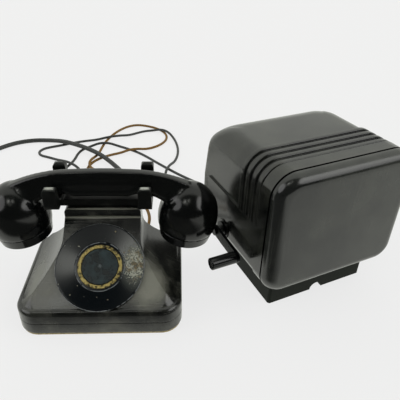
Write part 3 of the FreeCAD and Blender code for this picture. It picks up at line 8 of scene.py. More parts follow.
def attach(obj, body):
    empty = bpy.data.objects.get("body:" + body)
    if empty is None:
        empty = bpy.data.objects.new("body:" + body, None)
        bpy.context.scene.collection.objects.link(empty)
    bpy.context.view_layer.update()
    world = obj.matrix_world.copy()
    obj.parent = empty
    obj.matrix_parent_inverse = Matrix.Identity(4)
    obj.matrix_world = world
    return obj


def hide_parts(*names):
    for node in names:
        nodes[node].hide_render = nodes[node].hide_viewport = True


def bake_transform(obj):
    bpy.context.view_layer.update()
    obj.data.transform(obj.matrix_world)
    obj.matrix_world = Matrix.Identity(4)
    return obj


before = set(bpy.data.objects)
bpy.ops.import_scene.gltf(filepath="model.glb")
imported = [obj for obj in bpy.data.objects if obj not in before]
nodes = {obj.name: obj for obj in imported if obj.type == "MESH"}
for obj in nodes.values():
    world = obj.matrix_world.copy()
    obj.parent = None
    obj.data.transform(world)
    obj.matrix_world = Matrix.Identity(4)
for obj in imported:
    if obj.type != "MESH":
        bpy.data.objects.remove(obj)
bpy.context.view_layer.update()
mm = 0.001
mergeMm = 0.01        # points of a copied mesh that lie closer are one
bevelSamples = 4      # of the shader's rounded edges


def linearColour(hexValue):
    channels = [int(hexValue[i:i + 2], 16) / 255 for i in (1, 3, 5)]
    return [c / 12.92 if c <= 0.04045 else ((c + 0.055) / 1.055) ** 2.4 for c in channels] + [1.0]


def addNode(tree, kind, inputs=None, **settings):
    node = tree.nodes.new("ShaderNode" + kind)
    for name, value in settings.items():
        setattr(node, name, value)
    for name, value in (inputs or {}).items():
        socket = node.inputs[name]
        if isinstance(value, bpy.types.NodeSocket):
            tree.links.new(value, socket)
        elif isinstance(value, str):
            socket.default_value = linearColour(value)
        else:
            socket.default_value = value
    return node


def newMaterial(name):
    material = bpy.data.materials.new(name)
    material.use_nodes = True
    material.node_tree.nodes.clear()
    return material, material.node_tree


def closeMaterial(tree, shader):
    addNode(tree, "OutputMaterial", {"Surface": shader.outputs[0]})


cameraValues = {"place": (0.0747, -0.3555, 0.3522), "pitchDown": 33.77, "heading": -3.31,
                "roll": 1.73, "lensMm": 41.02, "filmMm": 36, "farEnd": 20}


def makeCamera(values):
    camera = bpy.data.objects.new("camera", bpy.data.cameras.new("camera"))
    bpy.context.scene.collection.objects.link(camera)
    turn = (Matrix.Rotation(math.radians(values["heading"]), 4, "Z")
            @ Matrix.Rotation(math.radians(90 - values["pitchDown"]), 4, "X")
            @ Matrix.Rotation(math.radians(values["roll"]), 4, "Z"))
    camera.matrix_world = Matrix.Translation(values["place"]) @ turn
    camera.data.lens = values["lensMm"]
    camera.data.sensor_width = values["filmMm"]
    camera.data.clip_end = values["farEnd"]
    bpy.context.scene.camera = camera
    bpy.context.scene.view_settings.view_transform = "Standard"


# the room as the object mirrors it: a ramp runs over the x, y or z of a direction, and a window is
# a soft spot round one direction, whose edge fades between two cosines
stageValues = {
    "floorColour": "#f3f3f3", "floorHalf": 6.0, "shadowShare": 0.15, "floorInGloss": 0.9,
    "darkFrontInGloss": 0.1, "darkFrontY": (-0.063, -0.09), "darkFrontX": (0.26, 0.15),
    "roomTint": "#f3f5ed", "worldSeen": "#f3f3f3", "worldFront": 0.05, "worldBack": 1.0,
    "backRamp": (-0.19, -0.03), "rightRamp": (0.4, 0.65), "rightLift": (0.35, 0.62),
    "rightLevel": 1.1,
    "windows": [
        {"way": (-0.02, -0.45, 0.89), "strength": 0.7, "edge": (0.9905, 0.9995)},
        {"way": (-0.3, -0.44, 0.85), "strength": 1.6, "edge": (0.9905, 0.9995)},
        {"way": (-0.17, -0.56, 0.81), "strength": 0.6, "edge": (0.9905, 0.9995)},
        {"way": (-0.05, -0.435, 0.9), "strength": 4.0, "edge": (0.9984, 0.9997)},
        {"way": (-0.262, -0.43, 0.865), "strength": 3.5, "edge": (0.9972, 0.9996)},
    ],
}


def makeFloor(values):
    bpy.ops.object.select_all(action="DESELECT")
    bpy.ops.mesh.primitive_plane_add(size=2 * values["floorHalf"], location=(0, 0, 0))
    floor = bpy.context.object
    floor.name = "floor"
    # matt white background paper
    material, tree = newMaterial("paperSweep")
    path = addNode(tree, "LightPath")
    # the camera sees mostly an even white and a faint shadow, reflections see the sheet dimmer
    camera = addNode(tree, "Math", {0: path.outputs["Is Camera Ray"], 1: 1 - values["shadowShare"]},
                     operation="MULTIPLY")
    paper = addNode(tree, "BsdfDiffuse", {"Color": values["floorColour"]})
    glow = addNode(tree, "Emission", {"Color": values["floorColour"], "Strength": 1.0})
    mixed = addNode(tree, "MixShader", {0: camera.outputs[0], 1: paper.outputs[0],
                                        2: glow.outputs[0]})
    # reflections see the sheet dark in front of the telephone, while the camera sees it white
    axes = addNode(tree, "SeparateXYZ", {0: addNode(tree, "TexCoord").outputs["Object"]})
    front = addNode(tree, "MapRange", {"Value": axes.outputs["Y"],
                                       "From Min": values["darkFrontY"][0],
                                       "From Max": values["darkFrontY"][1]})
    side = addNode(tree, "MapRange", {"Value": axes.outputs["X"],
                                      "From Min": values["darkFrontX"][0],
                                      "From Max": values["darkFrontX"][1]})
    darkFront = addNode(tree, "Math", {0: front.outputs[0], 1: side.outputs[0]}, operation="MULTIPLY")
    level = addNode(tree, "MapRange", {"Value": darkFront.outputs[0], "To Min": values["floorInGloss"],
                                       "To Max": values["darkFrontInGloss"]})
    dim = addNode(tree, "Emission", {"Color": values["roomTint"], "Strength": level.outputs[0]})
    mirrored = addNode(tree, "Math", {0: path.outputs["Is Glossy Ray"],
                                      1: path.outputs["Is Transmission Ray"]}, operation="MAXIMUM")
    mixed = addNode(tree, "MixShader", {0: mirrored.outputs[0], 1: mixed.outputs[0],
                                        2: dim.outputs[0]})
    closeMaterial(tree, mixed)
    # the sheet is too wide to be sampled as a lamp
    material.cycles.emission_sampling = "NONE"
    floor.data.materials.append(material)


def makeWorld(values):
    world = bpy.data.worlds.new("studio")
    bpy.context.scene.world = world
    world.use_nodes = True
    tree = world.node_tree
    tree.nodes.clear()
    ray = addNode(tree, "TexCoord").outputs["Generated"]
    axes = addNode(tree, "SeparateXYZ", {0: ray})
    # the room is bright behind and to the right, dark in front
    back = addNode(tree, "MapRange", {"Value": axes.outputs["Y"],
                                      "From Min": values["backRamp"][0],
                                      "From Max": values["backRamp"][1],
                                      "To Min": values["worldFront"],
                                      "To Max": values["worldBack"]},
                   interpolation_type="SMOOTHSTEP")
    right = addNode(tree, "MapRange", {"Value": axes.outputs["X"],
                                       "From Min": values["rightRamp"][0],
                                       "From Max": values["rightRamp"][1],
                                       "To Max": values["rightLevel"]},
                    interpolation_type="SMOOTHSTEP")
    lift = addNode(tree, "MapRange", {"Value": axes.outputs["Z"],
                                      "From Min": values["rightLift"][0],
                                      "From Max": values["rightLift"][1]},
                   interpolation_type="SMOOTHSTEP")
    right = addNode(tree, "Math", {0: right.outputs[0], 1: lift.outputs[0]}, operation="MULTIPLY")
    level = addNode(tree, "Math", {0: back.outputs[0], 1: right.outputs[0]}, operation="MAXIMUM")
    # the windows stand high in front, above the camera
    for v in values["windows"]:
        toward = addNode(tree, "VectorMath", {0: ray, 1: tuple(Vector(v["way"]).normalized())},
                         operation="DOT_PRODUCT")
        window = addNode(tree, "MapRange", {"Value": toward.outputs["Value"],
                                            "From Min": v["edge"][0], "From Max": v["edge"][1],
                                            "To Max": v["strength"]},
                         interpolation_type="SMOOTHSTEP")
        level = addNode(tree, "Math", {0: level.outputs[0], 1: window.outputs[0]},
                        operation="ADD")
    room = addNode(tree, "Background", {"Color": values["roomTint"],
                                        "Strength": level.outputs[0]})
    seen = addNode(tree, "Background", {"Color": values["worldSeen"], "Strength": 1.0})
    path = addNode(tree, "LightPath")
    mixed = addNode(tree, "MixShader", {0: path.outputs["Is Camera Ray"], 1: room.outputs[0],
                                        2: seen.outputs[0]})
    addNode(tree, "OutputWorld", {"Surface": mixed.outputs[0]})


# far soft lamps, so that the sheet is lit evenly; the angle is their size as seen from the table
lampValues = {
    "left": {"from": (-0.8, -0.35, 0.6), "angle": 40.0, "strength": 0.6},
    "right": {"from": (0.8, -0.35, 0.6), "angle": 40.0, "strength": 0.6},
}


def makeLamps(values):
    for name, v in values.items():
        lamp = bpy.data.objects.new("lamp_" + name, bpy.data.lights.new("lamp_" + name, "SUN"))
        bpy.context.scene.collection.objects.link(lamp)
        lamp.data.angle = math.radians(v["angle"])
        lamp.data.energy = v["strength"]
        lamp.location = v["from"]
        lamp.rotation_euler = (-Vector(v["from"])).to_track_quat("-Z", "Y").to_euler()


makeCamera(cameraValues)
makeFloor(stageValues)
makeWorld(stageValues)
makeLamps(lampValues)
print("stage ready")


# phenolic moulded in a polished steel tool: deep black with a hard gloss, and grey haze and fine
# scratches from handling; rubbed places and places with a painted highlight or reflection are in
# mm:
# middle, half size, strength
phenolicValues = {
    "telephone": {"body": "#0b0d0c", "haze": "#838378", "patchMm": 20, "hazeFrom": 0.4,
                  "hazeTo": 0.75, "hazeShare": 0.2, "gloss": 0.15, "dull": 0.42,
                  "scratchShare": 0.2, "edgeMm": 1.4, "ior": 1.6,
                  # rubbed haze on the slope corners, flanks and tray front, which also paints in
                  # part of the sheen these faces reflect
                  "worn": [((-50, -34, 44), (26, 26, 22), 0.5), ((45, -35, 43), (22, 30, 24), 1.5),
                           ((-66, -8, 44), (14, 44, 26), 0.65), ((46, 6, 68), (7, 10, 10), 0.4),
                           ((0, -62, 5), (220, 26, 8), 0.1),
                           # two thin painted highlights along the neck cap's front top edge and the
                           # edge below it
                           ((0, 16.5, 93), (52, 1.5, 1.4), 2.4),
                           ((0, 16, 83), (56, 1.6, 1.4), 2.4)]},
    "handset": {"body": "#090b0b", "haze": "#2a2c28", "patchMm": 30, "hazeFrom": 0.5,
                "hazeTo": 0.85, "hazeShare": 0.35, "gloss": 0.15, "dull": 0.3,
                "scratchShare": 0.2, "edgeMm": 0.5, "ior": 1.5, "worn": []},
    "fork": {"body": "#0b0d0c", "haze": "#b2b4ac", "patchMm": 12, "hazeFrom": 0.5,
             "hazeTo": 0.9, "hazeShare": 0.03, "gloss": 0.3, "dull": 0.45,
             "scratchShare": 0.1, "edgeMm": 1.6, "ior": 1.33,
             # the flat tops of the prong tips are worn, and the light haze colour there is also a
             # painted highlight
             "worn": [((-43, 0, 127.8), (11, 9, 2.4), 3.0), ((43, 0, 127.8), (11, 9, 2.4), 3.0)]},
    "case": {"body": "#0e100f", "haze": "#55574d", "patchMm": 45, "hazeFrom": 0.38,
             "hazeTo": 0.8, "hazeShare": 0.4, "gloss": 0.16, "dull": 0.34,
             "scratchShare": 0.15, "edgeMm": 0.5, "ior": 1.6, "seamHalfMm": 0.7,
             # a painted reflection that lightens the rear of the shell's left side
             "worn": [((116, 100, 115), (30, 60, 45), 0.4)]},
    # the cover's lighter body and heavier haze than the shell also paint in part of the sheen it
    # reflects
    "cover": {"body": "#191b1a", "haze": "#4c4e47", "patchMm": 60, "hazeFrom": 0.35,
              "hazeTo": 0.75, "hazeShare": 0.55, "gloss": 0.16, "dull": 0.32,
              "scratchShare": 0.15, "edgeMm": 0.5, "ior": 1.6, "seamHalfMm": 1.5, "worn": []},
    "plinth": {"body": "#131812", "haze": "#2a3228", "patchMm": 30, "hazeFrom": 0.4,
               "hazeTo": 0.8, "hazeShare": 0.4, "gloss": 0.6, "dull": 0.75,
               "scratchShare": 0.2, "edgeMm": 0.4, "ior": 1.25, "worn": []},
    "dialPlate": {"body": "#0e1719", "haze": "#35464a", "patchMm": 9, "hazeFrom": 0.38,
                  "hazeTo": 0.75, "hazeShare": 0.7, "gloss": 0.25, "dull": 0.45,
                  "scratchShare": 0.3, "edgeMm": 0.3, "ior": 1.38, "worn": []},
}
# what every moulding shares: rubbing marks that run mostly one way, 40 mm long and 0.9 mm apart,
# and a faint orange peel, drawn at 3 mm so that it shows
skinValues = {"patchDetail": 5.0, "patchRough": 0.55, "markTurn": (0.5, 0.3, 0.7),
              "markMm": (40, 0.9, 40), "markDetail": 2.0, "markSpan": (0.6, 0.74),
              "cloudSpan": (0.3, 0.7), "cloudLevel": (0.5, 1.0), "rubbedAndLitReach": (1.2, 0.3),
              # the black of the joint is a painted shadow, without gloss
              "seamShade": "#020202", "seamShadeIor": 1.0, "peelMm": 3.0, "peelDetail": 2.0,
              "peelStrength": 0.08, "peelDeepMm": 0.1}

# the cabinet's front faces this way, and the cover meets the shell at its front edge
cabinetTurn = math.radians(22.67)
seamWay = (math.sin(cabinetTurn), -math.cos(cabinetTurn), 0)
seamAt = max(vertex.co.dot(Vector(seamWay)) for vertex in nodes["box_shell"].data.vertices)


def mouldedPhenolic(name, v, skin):
    material, tree = newMaterial("mouldedPhenolic_" + name)
    place = addNode(tree, "TexCoord").outputs["Object"]
    patches = addNode(tree, "TexNoise", {"Vector": place, "Scale": 1000 / v["patchMm"],
                                         "Detail": skin["patchDetail"],
                                         "Roughness": skin["patchRough"]})
    haze = addNode(tree, "MapRange", {"Value": patches.outputs[0], "From Min": v["hazeFrom"],
                                      "From Max": v["hazeTo"]}, interpolation_type="SMOOTHSTEP")
    amount = addNode(tree, "Math", {0: haze.outputs[0], 1: v["hazeShare"]}, operation="MULTIPLY")
    turned = addNode(tree, "Mapping", {"Vector": place, "Rotation": skin["markTurn"],
                                       "Scale": tuple(1000 / c for c in skin["markMm"])})
    lines = addNode(tree, "TexNoise", {"Vector": turned.outputs[0], "Scale": 1.0,
                                       "Detail": skin["markDetail"]})
    scratches = addNode(tree, "MapRange", {"Value": lines.outputs[0],
                                           "From Min": skin["markSpan"][0],
                                           "From Max": skin["markSpan"][1]})
    marks = addNode(tree, "Math", {0: scratches.outputs[0], 1: v["scratchShare"]},
                    operation="MULTIPLY")
    worn = addNode(tree, "Math", {0: amount.outputs[0], 1: marks.outputs[0]}, operation="ADD",
                   use_clamp=True)
    # places that hands and cloths have rubbed grey, and places where a highlight or a reflection is
    # painted on as lighter haze
    cloudy = addNode(tree, "MapRange", {"Value": patches.outputs[0],
                                        "From Min": skin["cloudSpan"][0],
                                        "From Max": skin["cloudSpan"][1],
                                        "To Min": skin["cloudLevel"][0],
                                        "To Max": skin["cloudLevel"][1]})
    for middle, half, share in v["worn"]:
        moved = addNode(tree, "Mapping", {"Vector": place,
                                          "Location": tuple(c * mm for c in middle),
                                          "Scale": tuple(c * mm for c in half)},
                        vector_type="TEXTURE")
        reach = addNode(tree, "VectorMath", {0: moved.outputs[0]}, operation="LENGTH")
        near = addNode(tree, "MapRange", {"Value": reach.outputs["Value"],
                                          "From Min": skin["rubbedAndLitReach"][0],
                                          "From Max": skin["rubbedAndLitReach"][1], "To Max": share},
                       interpolation_type="SMOOTHSTEP")
        rubbedAndLitSpot = addNode(tree, "Math", {0: near.outputs[0], 1: cloudy.outputs[0]},
                         operation="MULTIPLY")
        worn = addNode(tree, "Math", {0: worn.outputs[0], 1: rubbedAndLitSpot.outputs[0]}, operation="ADD",
                       use_clamp=True)
    colour = addNode(tree, "Mix", {0: worn.outputs[0], 6: v["body"], 7: v["haze"]},
                     data_type="RGBA")
    rough = addNode(tree, "MapRange", {"Value": worn.outputs[0], "To Min": v["gloss"],
                                       "To Max": v["dull"]})
    rounded = addNode(tree, "Bevel", {"Radius": v["edgeMm"] * mm}, samples=bevelSamples)
    peel = addNode(tree, "TexNoise", {"Vector": place, "Scale": 1000 / skin["peelMm"],
                                      "Detail": skin["peelDetail"]})
    bump = addNode(tree, "Bump", {"Height": peel.outputs[0], "Strength": skin["peelStrength"],
                                  "Distance": skin["peelDeepMm"] * mm,
                                  "Normal": rounded.outputs[0]})
    shader = addNode(tree, "BsdfPrincipled", {"Base Color": colour.outputs[2],
                                              "Roughness": rough.outputs[0], "IOR": v["ior"],
                                              "Normal": bump.outputs[0]})
    if "seamHalfMm" in v:
        # painted shadow: the joint between shell and cover is painted black and loses its gloss
        along = addNode(tree, "VectorMath", {0: place, 1: seamWay}, operation="DOT_PRODUCT")
        seam = addNode(tree, "Math", {0: along.outputs["Value"], 1: seamAt,
                                      2: v["seamHalfMm"] * mm}, operation="COMPARE")
        colour = addNode(tree, "Mix", {0: seam.outputs[0], 6: colour.outputs[2],
                                       7: skin["seamShade"]}, data_type="RGBA")
        gleam = addNode(tree, "MapRange", {"Value": seam.outputs[0], "To Min": v["ior"],
                                           "To Max": skin["seamShadeIor"]})
        tree.links.new(colour.outputs[2], shader.inputs["Base Color"])
        tree.links.new(gleam.outputs[0], shader.inputs["IOR"])
    closeMaterial(tree, shader)
    return material


# metals: plating gives a cool soft mirror, spun and turned metal a clearer one, and a dark patina
# or black paint leaves only its highlights
metalValues = {
    "nickelSteel": {"colour": "#8f9191", "dark": "#5b5c5a", "gloss": 0.22, "dull": 0.42,
                    "grainMm": 5},
    "zincPlate": {"colour": "#a3a5a2", "dark": "#7d8080", "gloss": 0.35, "dull": 0.5,
                  "grainMm": 7},
    "dullZinc": {"colour": "#6a7173", "dark": "#34393a", "gloss": 0.4, "dull": 0.6,
                 "grainMm": 1.5},
    "turnedBrass": {"colour": "#b08d4a", "dark": "#6d5a33", "gloss": 0.25, "dull": 0.45,
                    "grainMm": 4},
    "spunAluminium": {"colour": "#b9bbbc", "dark": "#8f9192", "gloss": 0.3, "dull": 0.42,
                      "grainMm": 6},
    "castIron": {"colour": "#4d4e50", "dark": "#303133", "gloss": 0.5, "dull": 0.7,
                 "grainMm": 2},
    "magnetEnamel": {"colour": "#2b2c2f", "dark": "#191a1b", "gloss": 0.35, "dull": 0.5,
                     "grainMm": 4},
    "oxidisedBrass": {"colour": "#2e2a1e", "dark": "#14120d", "gloss": 0.4, "dull": 0.55,
                      "grainMm": 3},
    "blackSteel": {"colour": "#1f2122", "dark": "#0e0f0f", "gloss": 0.25, "dull": 0.45,
                   "grainMm": 6},
}
# and what the metals share: stains that dull them, and edges broken to 0.3 mm
metalSkin = {"stainDetail": 4.0, "stainSpan": (0.35, 0.7), "edgeMm": 0.3}


def platedMetal(name, v, skin):
    material, tree = newMaterial(name)
    place = addNode(tree, "TexCoord").outputs["Object"]
    stain = addNode(tree, "TexNoise", {"Vector": place, "Scale": 1000 / v["grainMm"],
                                       "Detail": skin["stainDetail"]})
    tone = addNode(tree, "MapRange", {"Value": stain.outputs[0],
                                      "From Min": skin["stainSpan"][0],
                                      "From Max": skin["stainSpan"][1]})
    colour = addNode(tree, "Mix", {0: tone.outputs[0], 6: v["colour"], 7: v["dark"]},
                     data_type="RGBA")
    rough = addNode(tree, "MapRange", {"Value": tone.outputs[0], "To Min": v["gloss"],
                                       "To Max": v["dull"]})
    rounded = addNode(tree, "Bevel", {"Radius": skin["edgeMm"] * mm}, samples=bevelSamples)
    shader = addNode(tree, "BsdfPrincipled", {"Base Color": colour.outputs[2],
                                              "Roughness": rough.outputs[0], "Metallic": 1.0,
                                              "Normal": rounded.outputs[0]})
    closeMaterial(tree, shader)
    return material


# soft or matt stock: moulded rubber and pressed leatherboard swallow the light, paper laminate and
# varnished cotton keep a low sheen over their grain
softValues = {
    "greyRubber": {"colour": "#3f4140", "dark": "#262827", "rough": 0.5, "grainMm": 1.2,
                   "bump": 0.15},
    "blackRubber": {"colour": "#1d1e1d", "dark": "#101110", "rough": 0.55, "grainMm": 1.5,
                    "bump": 0.2},
    "leatherBoard": {"colour": "#e2cf95", "dark": "#a89264", "rough": 0.85, "grainMm": 1.4,
                     "bump": 0.5},
    "paperLaminate": {"colour": "#5c3d24", "dark": "#3d2717", "rough": 0.45, "grainMm": 3,
                      "bump": 0.15},
    "varnishedCotton": {"colour": "#6f3f22", "dark": "#3f2414", "rough": 0.5, "grainMm": 0.8,
                        "bump": 0.5},
}
# and what these share: a grain that darkens and lifts the surface
softSkin = {"grainDetail": 5.0, "grainSpan": (0.35, 0.68), "grainDeepMm": 0.3}


def mattStock(name, v, skin):
    material, tree = newMaterial(name)
    place = addNode(tree, "TexCoord").outputs["Object"]
    grain = addNode(tree, "TexNoise", {"Vector": place, "Scale": 1000 / v["grainMm"],
                                       "Detail": skin["grainDetail"]})
    tone = addNode(tree, "MapRange", {"Value": grain.outputs[0],
                                      "From Min": skin["grainSpan"][0],
                                      "From Max": skin["grainSpan"][1]})
    colour = addNode(tree, "Mix", {0: tone.outputs[0], 6: v["colour"], 7: v["dark"]},
                     data_type="RGBA")
    bump = addNode(tree, "Bump", {"Height": grain.outputs[0], "Strength": v["bump"],
                                  "Distance": skin["grainDeepMm"] * mm})
    shader = addNode(tree, "BsdfPrincipled", {"Base Color": colour.outputs[2],
                                              "Roughness": v["rough"],
                                              "Normal": bump.outputs[0]})
    closeMaterial(tree, shader)
    return material


# stove enamel over steel, glossy blue-black, with rust that has come through beside the rim;
# painted highlight lines are in mm from the dial's axis: radius, half width
dialValues = {"body": "#080d11", "stain": "#454a45", "rust": "#6f6040", "bare": "#a9aa9c",
              # the edge colour is the painted highlight on the rim and round the well
              "edge": "#868a8c", "rustPlace": (0.033, -0.0225, 0.0555),
              "rustHalf": (0.0135, 0.026, 0.02), "rustReach": (1.35, 0.35), "rustGain": 0.28,
              "speckMm": 1.5, "speckDetail": 6.0, "speckRough": 0.7, "chipSpan": (0.7, 0.8),
              "dotMm": 3.0, "dotSpan": (0.825, 0.865), "tintMm": 5.0, "tintDetail": 2.0,
              "tintSpan": (0.48, 0.62), "brokenSpan": (0.36, 0.5), "gloss": 0.1, "dull": 0.5,
              "edgeMm": 0.4, "chipStrength": 0.5, "chipDeepMm": 0.15, "ior": 1.4,
              "lines": [(23.5, 0.4), (42.2, 0.3)], "axis": (0, -0.5931, 0.8051)}
ringPlaces = [vertex.co for vertex in nodes["dial_ring"].data.vertices]
dialMiddle = [(min(place[i] for place in ringPlaces) + max(place[i] for place in ringPlaces)) / 2
              for i in range(3)]


def chippedEnamel(v):
    material, tree = newMaterial("stoveEnamel")
    place = addNode(tree, "TexCoord").outputs["Object"]
    moved = addNode(tree, "Mapping", {"Vector": place, "Location": v["rustPlace"],
                                      "Scale": v["rustHalf"]}, vector_type="TEXTURE")
    reach = addNode(tree, "VectorMath", {0: moved.outputs[0]}, operation="LENGTH")
    near = addNode(tree, "MapRange", {"Value": reach.outputs["Value"],
                                      "From Min": v["rustReach"][0],
                                      "From Max": v["rustReach"][1]},
                   interpolation_type="SMOOTHSTEP")
    speck = addNode(tree, "TexNoise", {"Vector": place, "Scale": 1000 / v["speckMm"],
                                       "Detail": v["speckDetail"],
                                       "Roughness": v["speckRough"]})
    spots = addNode(tree, "Math", {0: near.outputs[0], 1: v["rustGain"]}, operation="MULTIPLY")
    spots = addNode(tree, "Math", {0: speck.outputs[0], 1: spots.outputs[0]}, operation="ADD")
    chips = addNode(tree, "MapRange", {"Value": spots.outputs[0], "From Min": v["chipSpan"][0],
                                       "From Max": v["chipSpan"][1]})
    # a few pin-head chips anywhere on the plate
    dots = addNode(tree, "TexNoise", {"Vector": place, "Scale": 1000 / v["dotMm"],
                                      "Detail": 0.0})
    dots = addNode(tree, "MapRange", {"Value": dots.outputs[0], "From Min": v["dotSpan"][0],
                                      "From Max": v["dotSpan"][1]})
    chips = addNode(tree, "Math", {0: chips.outputs[0], 1: dots.outputs[0]}, operation="MAXIMUM")
    tint = addNode(tree, "TexNoise", {"Vector": place, "Scale": 1000 / v["tintMm"],
                                      "Detail": v["tintDetail"]})
    tinted = addNode(tree, "MapRange", {"Value": tint.outputs[0], "From Min": v["tintSpan"][0],
                                        "From Max": v["tintSpan"][1]})
    chipColour = addNode(tree, "Mix", {0: tinted.outputs[0], 6: v["bare"], 7: v["rust"]},
                         data_type="RGBA")
    # round the chips the enamel has gone grey
    stained = addNode(tree, "Mix", {0: near.outputs[0], 6: v["body"], 7: v["stain"]},
                      data_type="RGBA")
    colour = addNode(tree, "Mix", {0: chips.outputs[0], 6: stained.outputs[2],
                                   7: chipColour.outputs[2]}, data_type="RGBA")
    # painted highlights in thin broken lines on the rim and round the well
    apart = addNode(tree, "VectorMath", {0: place, 1: tuple(dialMiddle)}, operation="SUBTRACT")
    apart = addNode(tree, "VectorMath", {0: apart.outputs[0], 1: v["axis"]},
                    operation="CROSS_PRODUCT")
    apart = addNode(tree, "VectorMath", {0: apart.outputs[0]}, operation="LENGTH")
    broken = addNode(tree, "MapRange", {"Value": tint.outputs[0],
                                        "From Min": v["brokenSpan"][0],
                                        "From Max": v["brokenSpan"][1]})
    for radius, half in v["lines"]:
        line = addNode(tree, "Math", {0: apart.outputs["Value"], 1: radius * mm, 2: half * mm},
                       operation="COMPARE")
        line = addNode(tree, "Math", {0: line.outputs[0], 1: broken.outputs[0]},
                       operation="MULTIPLY")
        colour = addNode(tree, "Mix", {0: line.outputs[0], 6: colour.outputs[2], 7: v["edge"]},
                         data_type="RGBA")
    rough = addNode(tree, "MapRange", {"Value": chips.outputs[0], "To Min": v["gloss"],
                                       "To Max": v["dull"]})
    rounded = addNode(tree, "Bevel", {"Radius": v["edgeMm"] * mm}, samples=bevelSamples)
    bump = addNode(tree, "Bump", {"Height": chips.outputs[0], "Strength": v["chipStrength"],
                                  "Distance": -v["chipDeepMm"] * mm,
                                  "Normal": rounded.outputs[0]})
    shader = addNode(tree, "BsdfPrincipled", {"Base Color": colour.outputs[2],
                                              "Roughness": rough.outputs[0], "IOR": v["ior"],
                                              "Normal": bump.outputs[0]})
    closeMaterial(tree, shader)
    return material


# brass washer whose lacquer has gone: dull gold with black tarnish
ringValues = {"bright": "#b8a565", "tarnish": "#1d1a12", "patchMm": 3.5, "patchDetail": 4.0,
              "patchRough": 0.65, "darkSpan": (0.42, 0.6), "gloss": 0.35, "dull": 0.6,
              "metallic": 0.55}


def tarnishedBrass(v):
    material, tree = newMaterial("tarnishedBrass")
    place = addNode(tree, "TexCoord").outputs["Object"]
    patches = addNode(tree, "TexNoise", {"Vector": place, "Scale": 1000 / v["patchMm"],
                                         "Detail": v["patchDetail"],
                                         "Roughness": v["patchRough"]})
    dark = addNode(tree, "MapRange", {"Value": patches.outputs[0], "From Min": v["darkSpan"][0],
                                      "From Max": v["darkSpan"][1]},
                   interpolation_type="SMOOTHSTEP")
    colour = addNode(tree, "Mix", {0: dark.outputs[0], 6: v["bright"], 7: v["tarnish"]},
                     data_type="RGBA")
    rough = addNode(tree, "MapRange", {"Value": dark.outputs[0], "To Min": v["gloss"],
                                       "To Max": v["dull"]})
    shader = addNode(tree, "BsdfPrincipled", {"Base Color": colour.outputs[2],
                                              "Roughness": rough.outputs[0],
                                              "Metallic": v["metallic"]})
    closeMaterial(tree, shader)
    return material


# cotton braided over rubber: two sets of strands cross along the cord and hide each other by turns
braidValues = {"light": "#9a7439", "dark": "#4b3415", "strandMm": 1.1, "wavesRound": 8.0,
               "strandsPerWave": 4, "toneSpan": (-0.4, 1.0), "rough": 0.8, "bump": 0.6,
               "deepMm": 0.3}


def cottonBraid(v):
    material, tree = newMaterial("cottonBraid")
    wrap = addNode(tree, "TexCoord").outputs["UV"]
    axes = addNode(tree, "SeparateXYZ", {0: wrap})
    waves = []
    for side in (-1, 1):
        around = addNode(tree, "Math", {0: axes.outputs["X"], 1: side * v["wavesRound"]},
                         operation="MULTIPLY")
        along = addNode(tree, "Math", {0: axes.outputs["Y"],
                                       1: 1 / (v["strandsPerWave"] * v["strandMm"] * mm)},
                        operation="MULTIPLY")
        both = addNode(tree, "Math", {0: around.outputs[0], 1: along.outputs[0]},
                       operation="ADD")
        turn = addNode(tree, "Math", {0: both.outputs[0], 1: 2 * math.pi}, operation="MULTIPLY")
        waves.append(addNode(tree, "Math", {0: turn.outputs[0]}, operation="SINE"))
    over = addNode(tree, "Math", {0: waves[0].outputs[0], 1: waves[1].outputs[0]},
                   operation="MAXIMUM")
    tone = addNode(tree, "MapRange", {"Value": over.outputs[0], "From Min": v["toneSpan"][0],
                                      "From Max": v["toneSpan"][1]})
    colour = addNode(tree, "Mix", {0: tone.outputs[0], 6: v["dark"], 7: v["light"]},
                     data_type="RGBA")
    bump = addNode(tree, "Bump", {"Height": tone.outputs[0], "Strength": v["bump"],
                                  "Distance": v["deepMm"] * mm})
    shader = addNode(tree, "BsdfPrincipled", {"Base Color": colour.outputs[2],
                                              "Roughness": v["rough"],
                                              "Normal": bump.outputs[0]})
    closeMaterial(tree, shader)
    return material


finishes = {name: mouldedPhenolic(name, v, skinValues) for name, v in phenolicValues.items()}
finishes.update({name: platedMetal(name, v, metalSkin) for name, v in metalValues.items()})
finishes.update({name: mattStock(name, v, softSkin) for name, v in softValues.items()})
finishes["enamel"] = chippedEnamel(dialValues)
finishes["ringBrass"] = tarnishedBrass(ringValues)
finishes["braid"] = cottonBraid(braidValues)

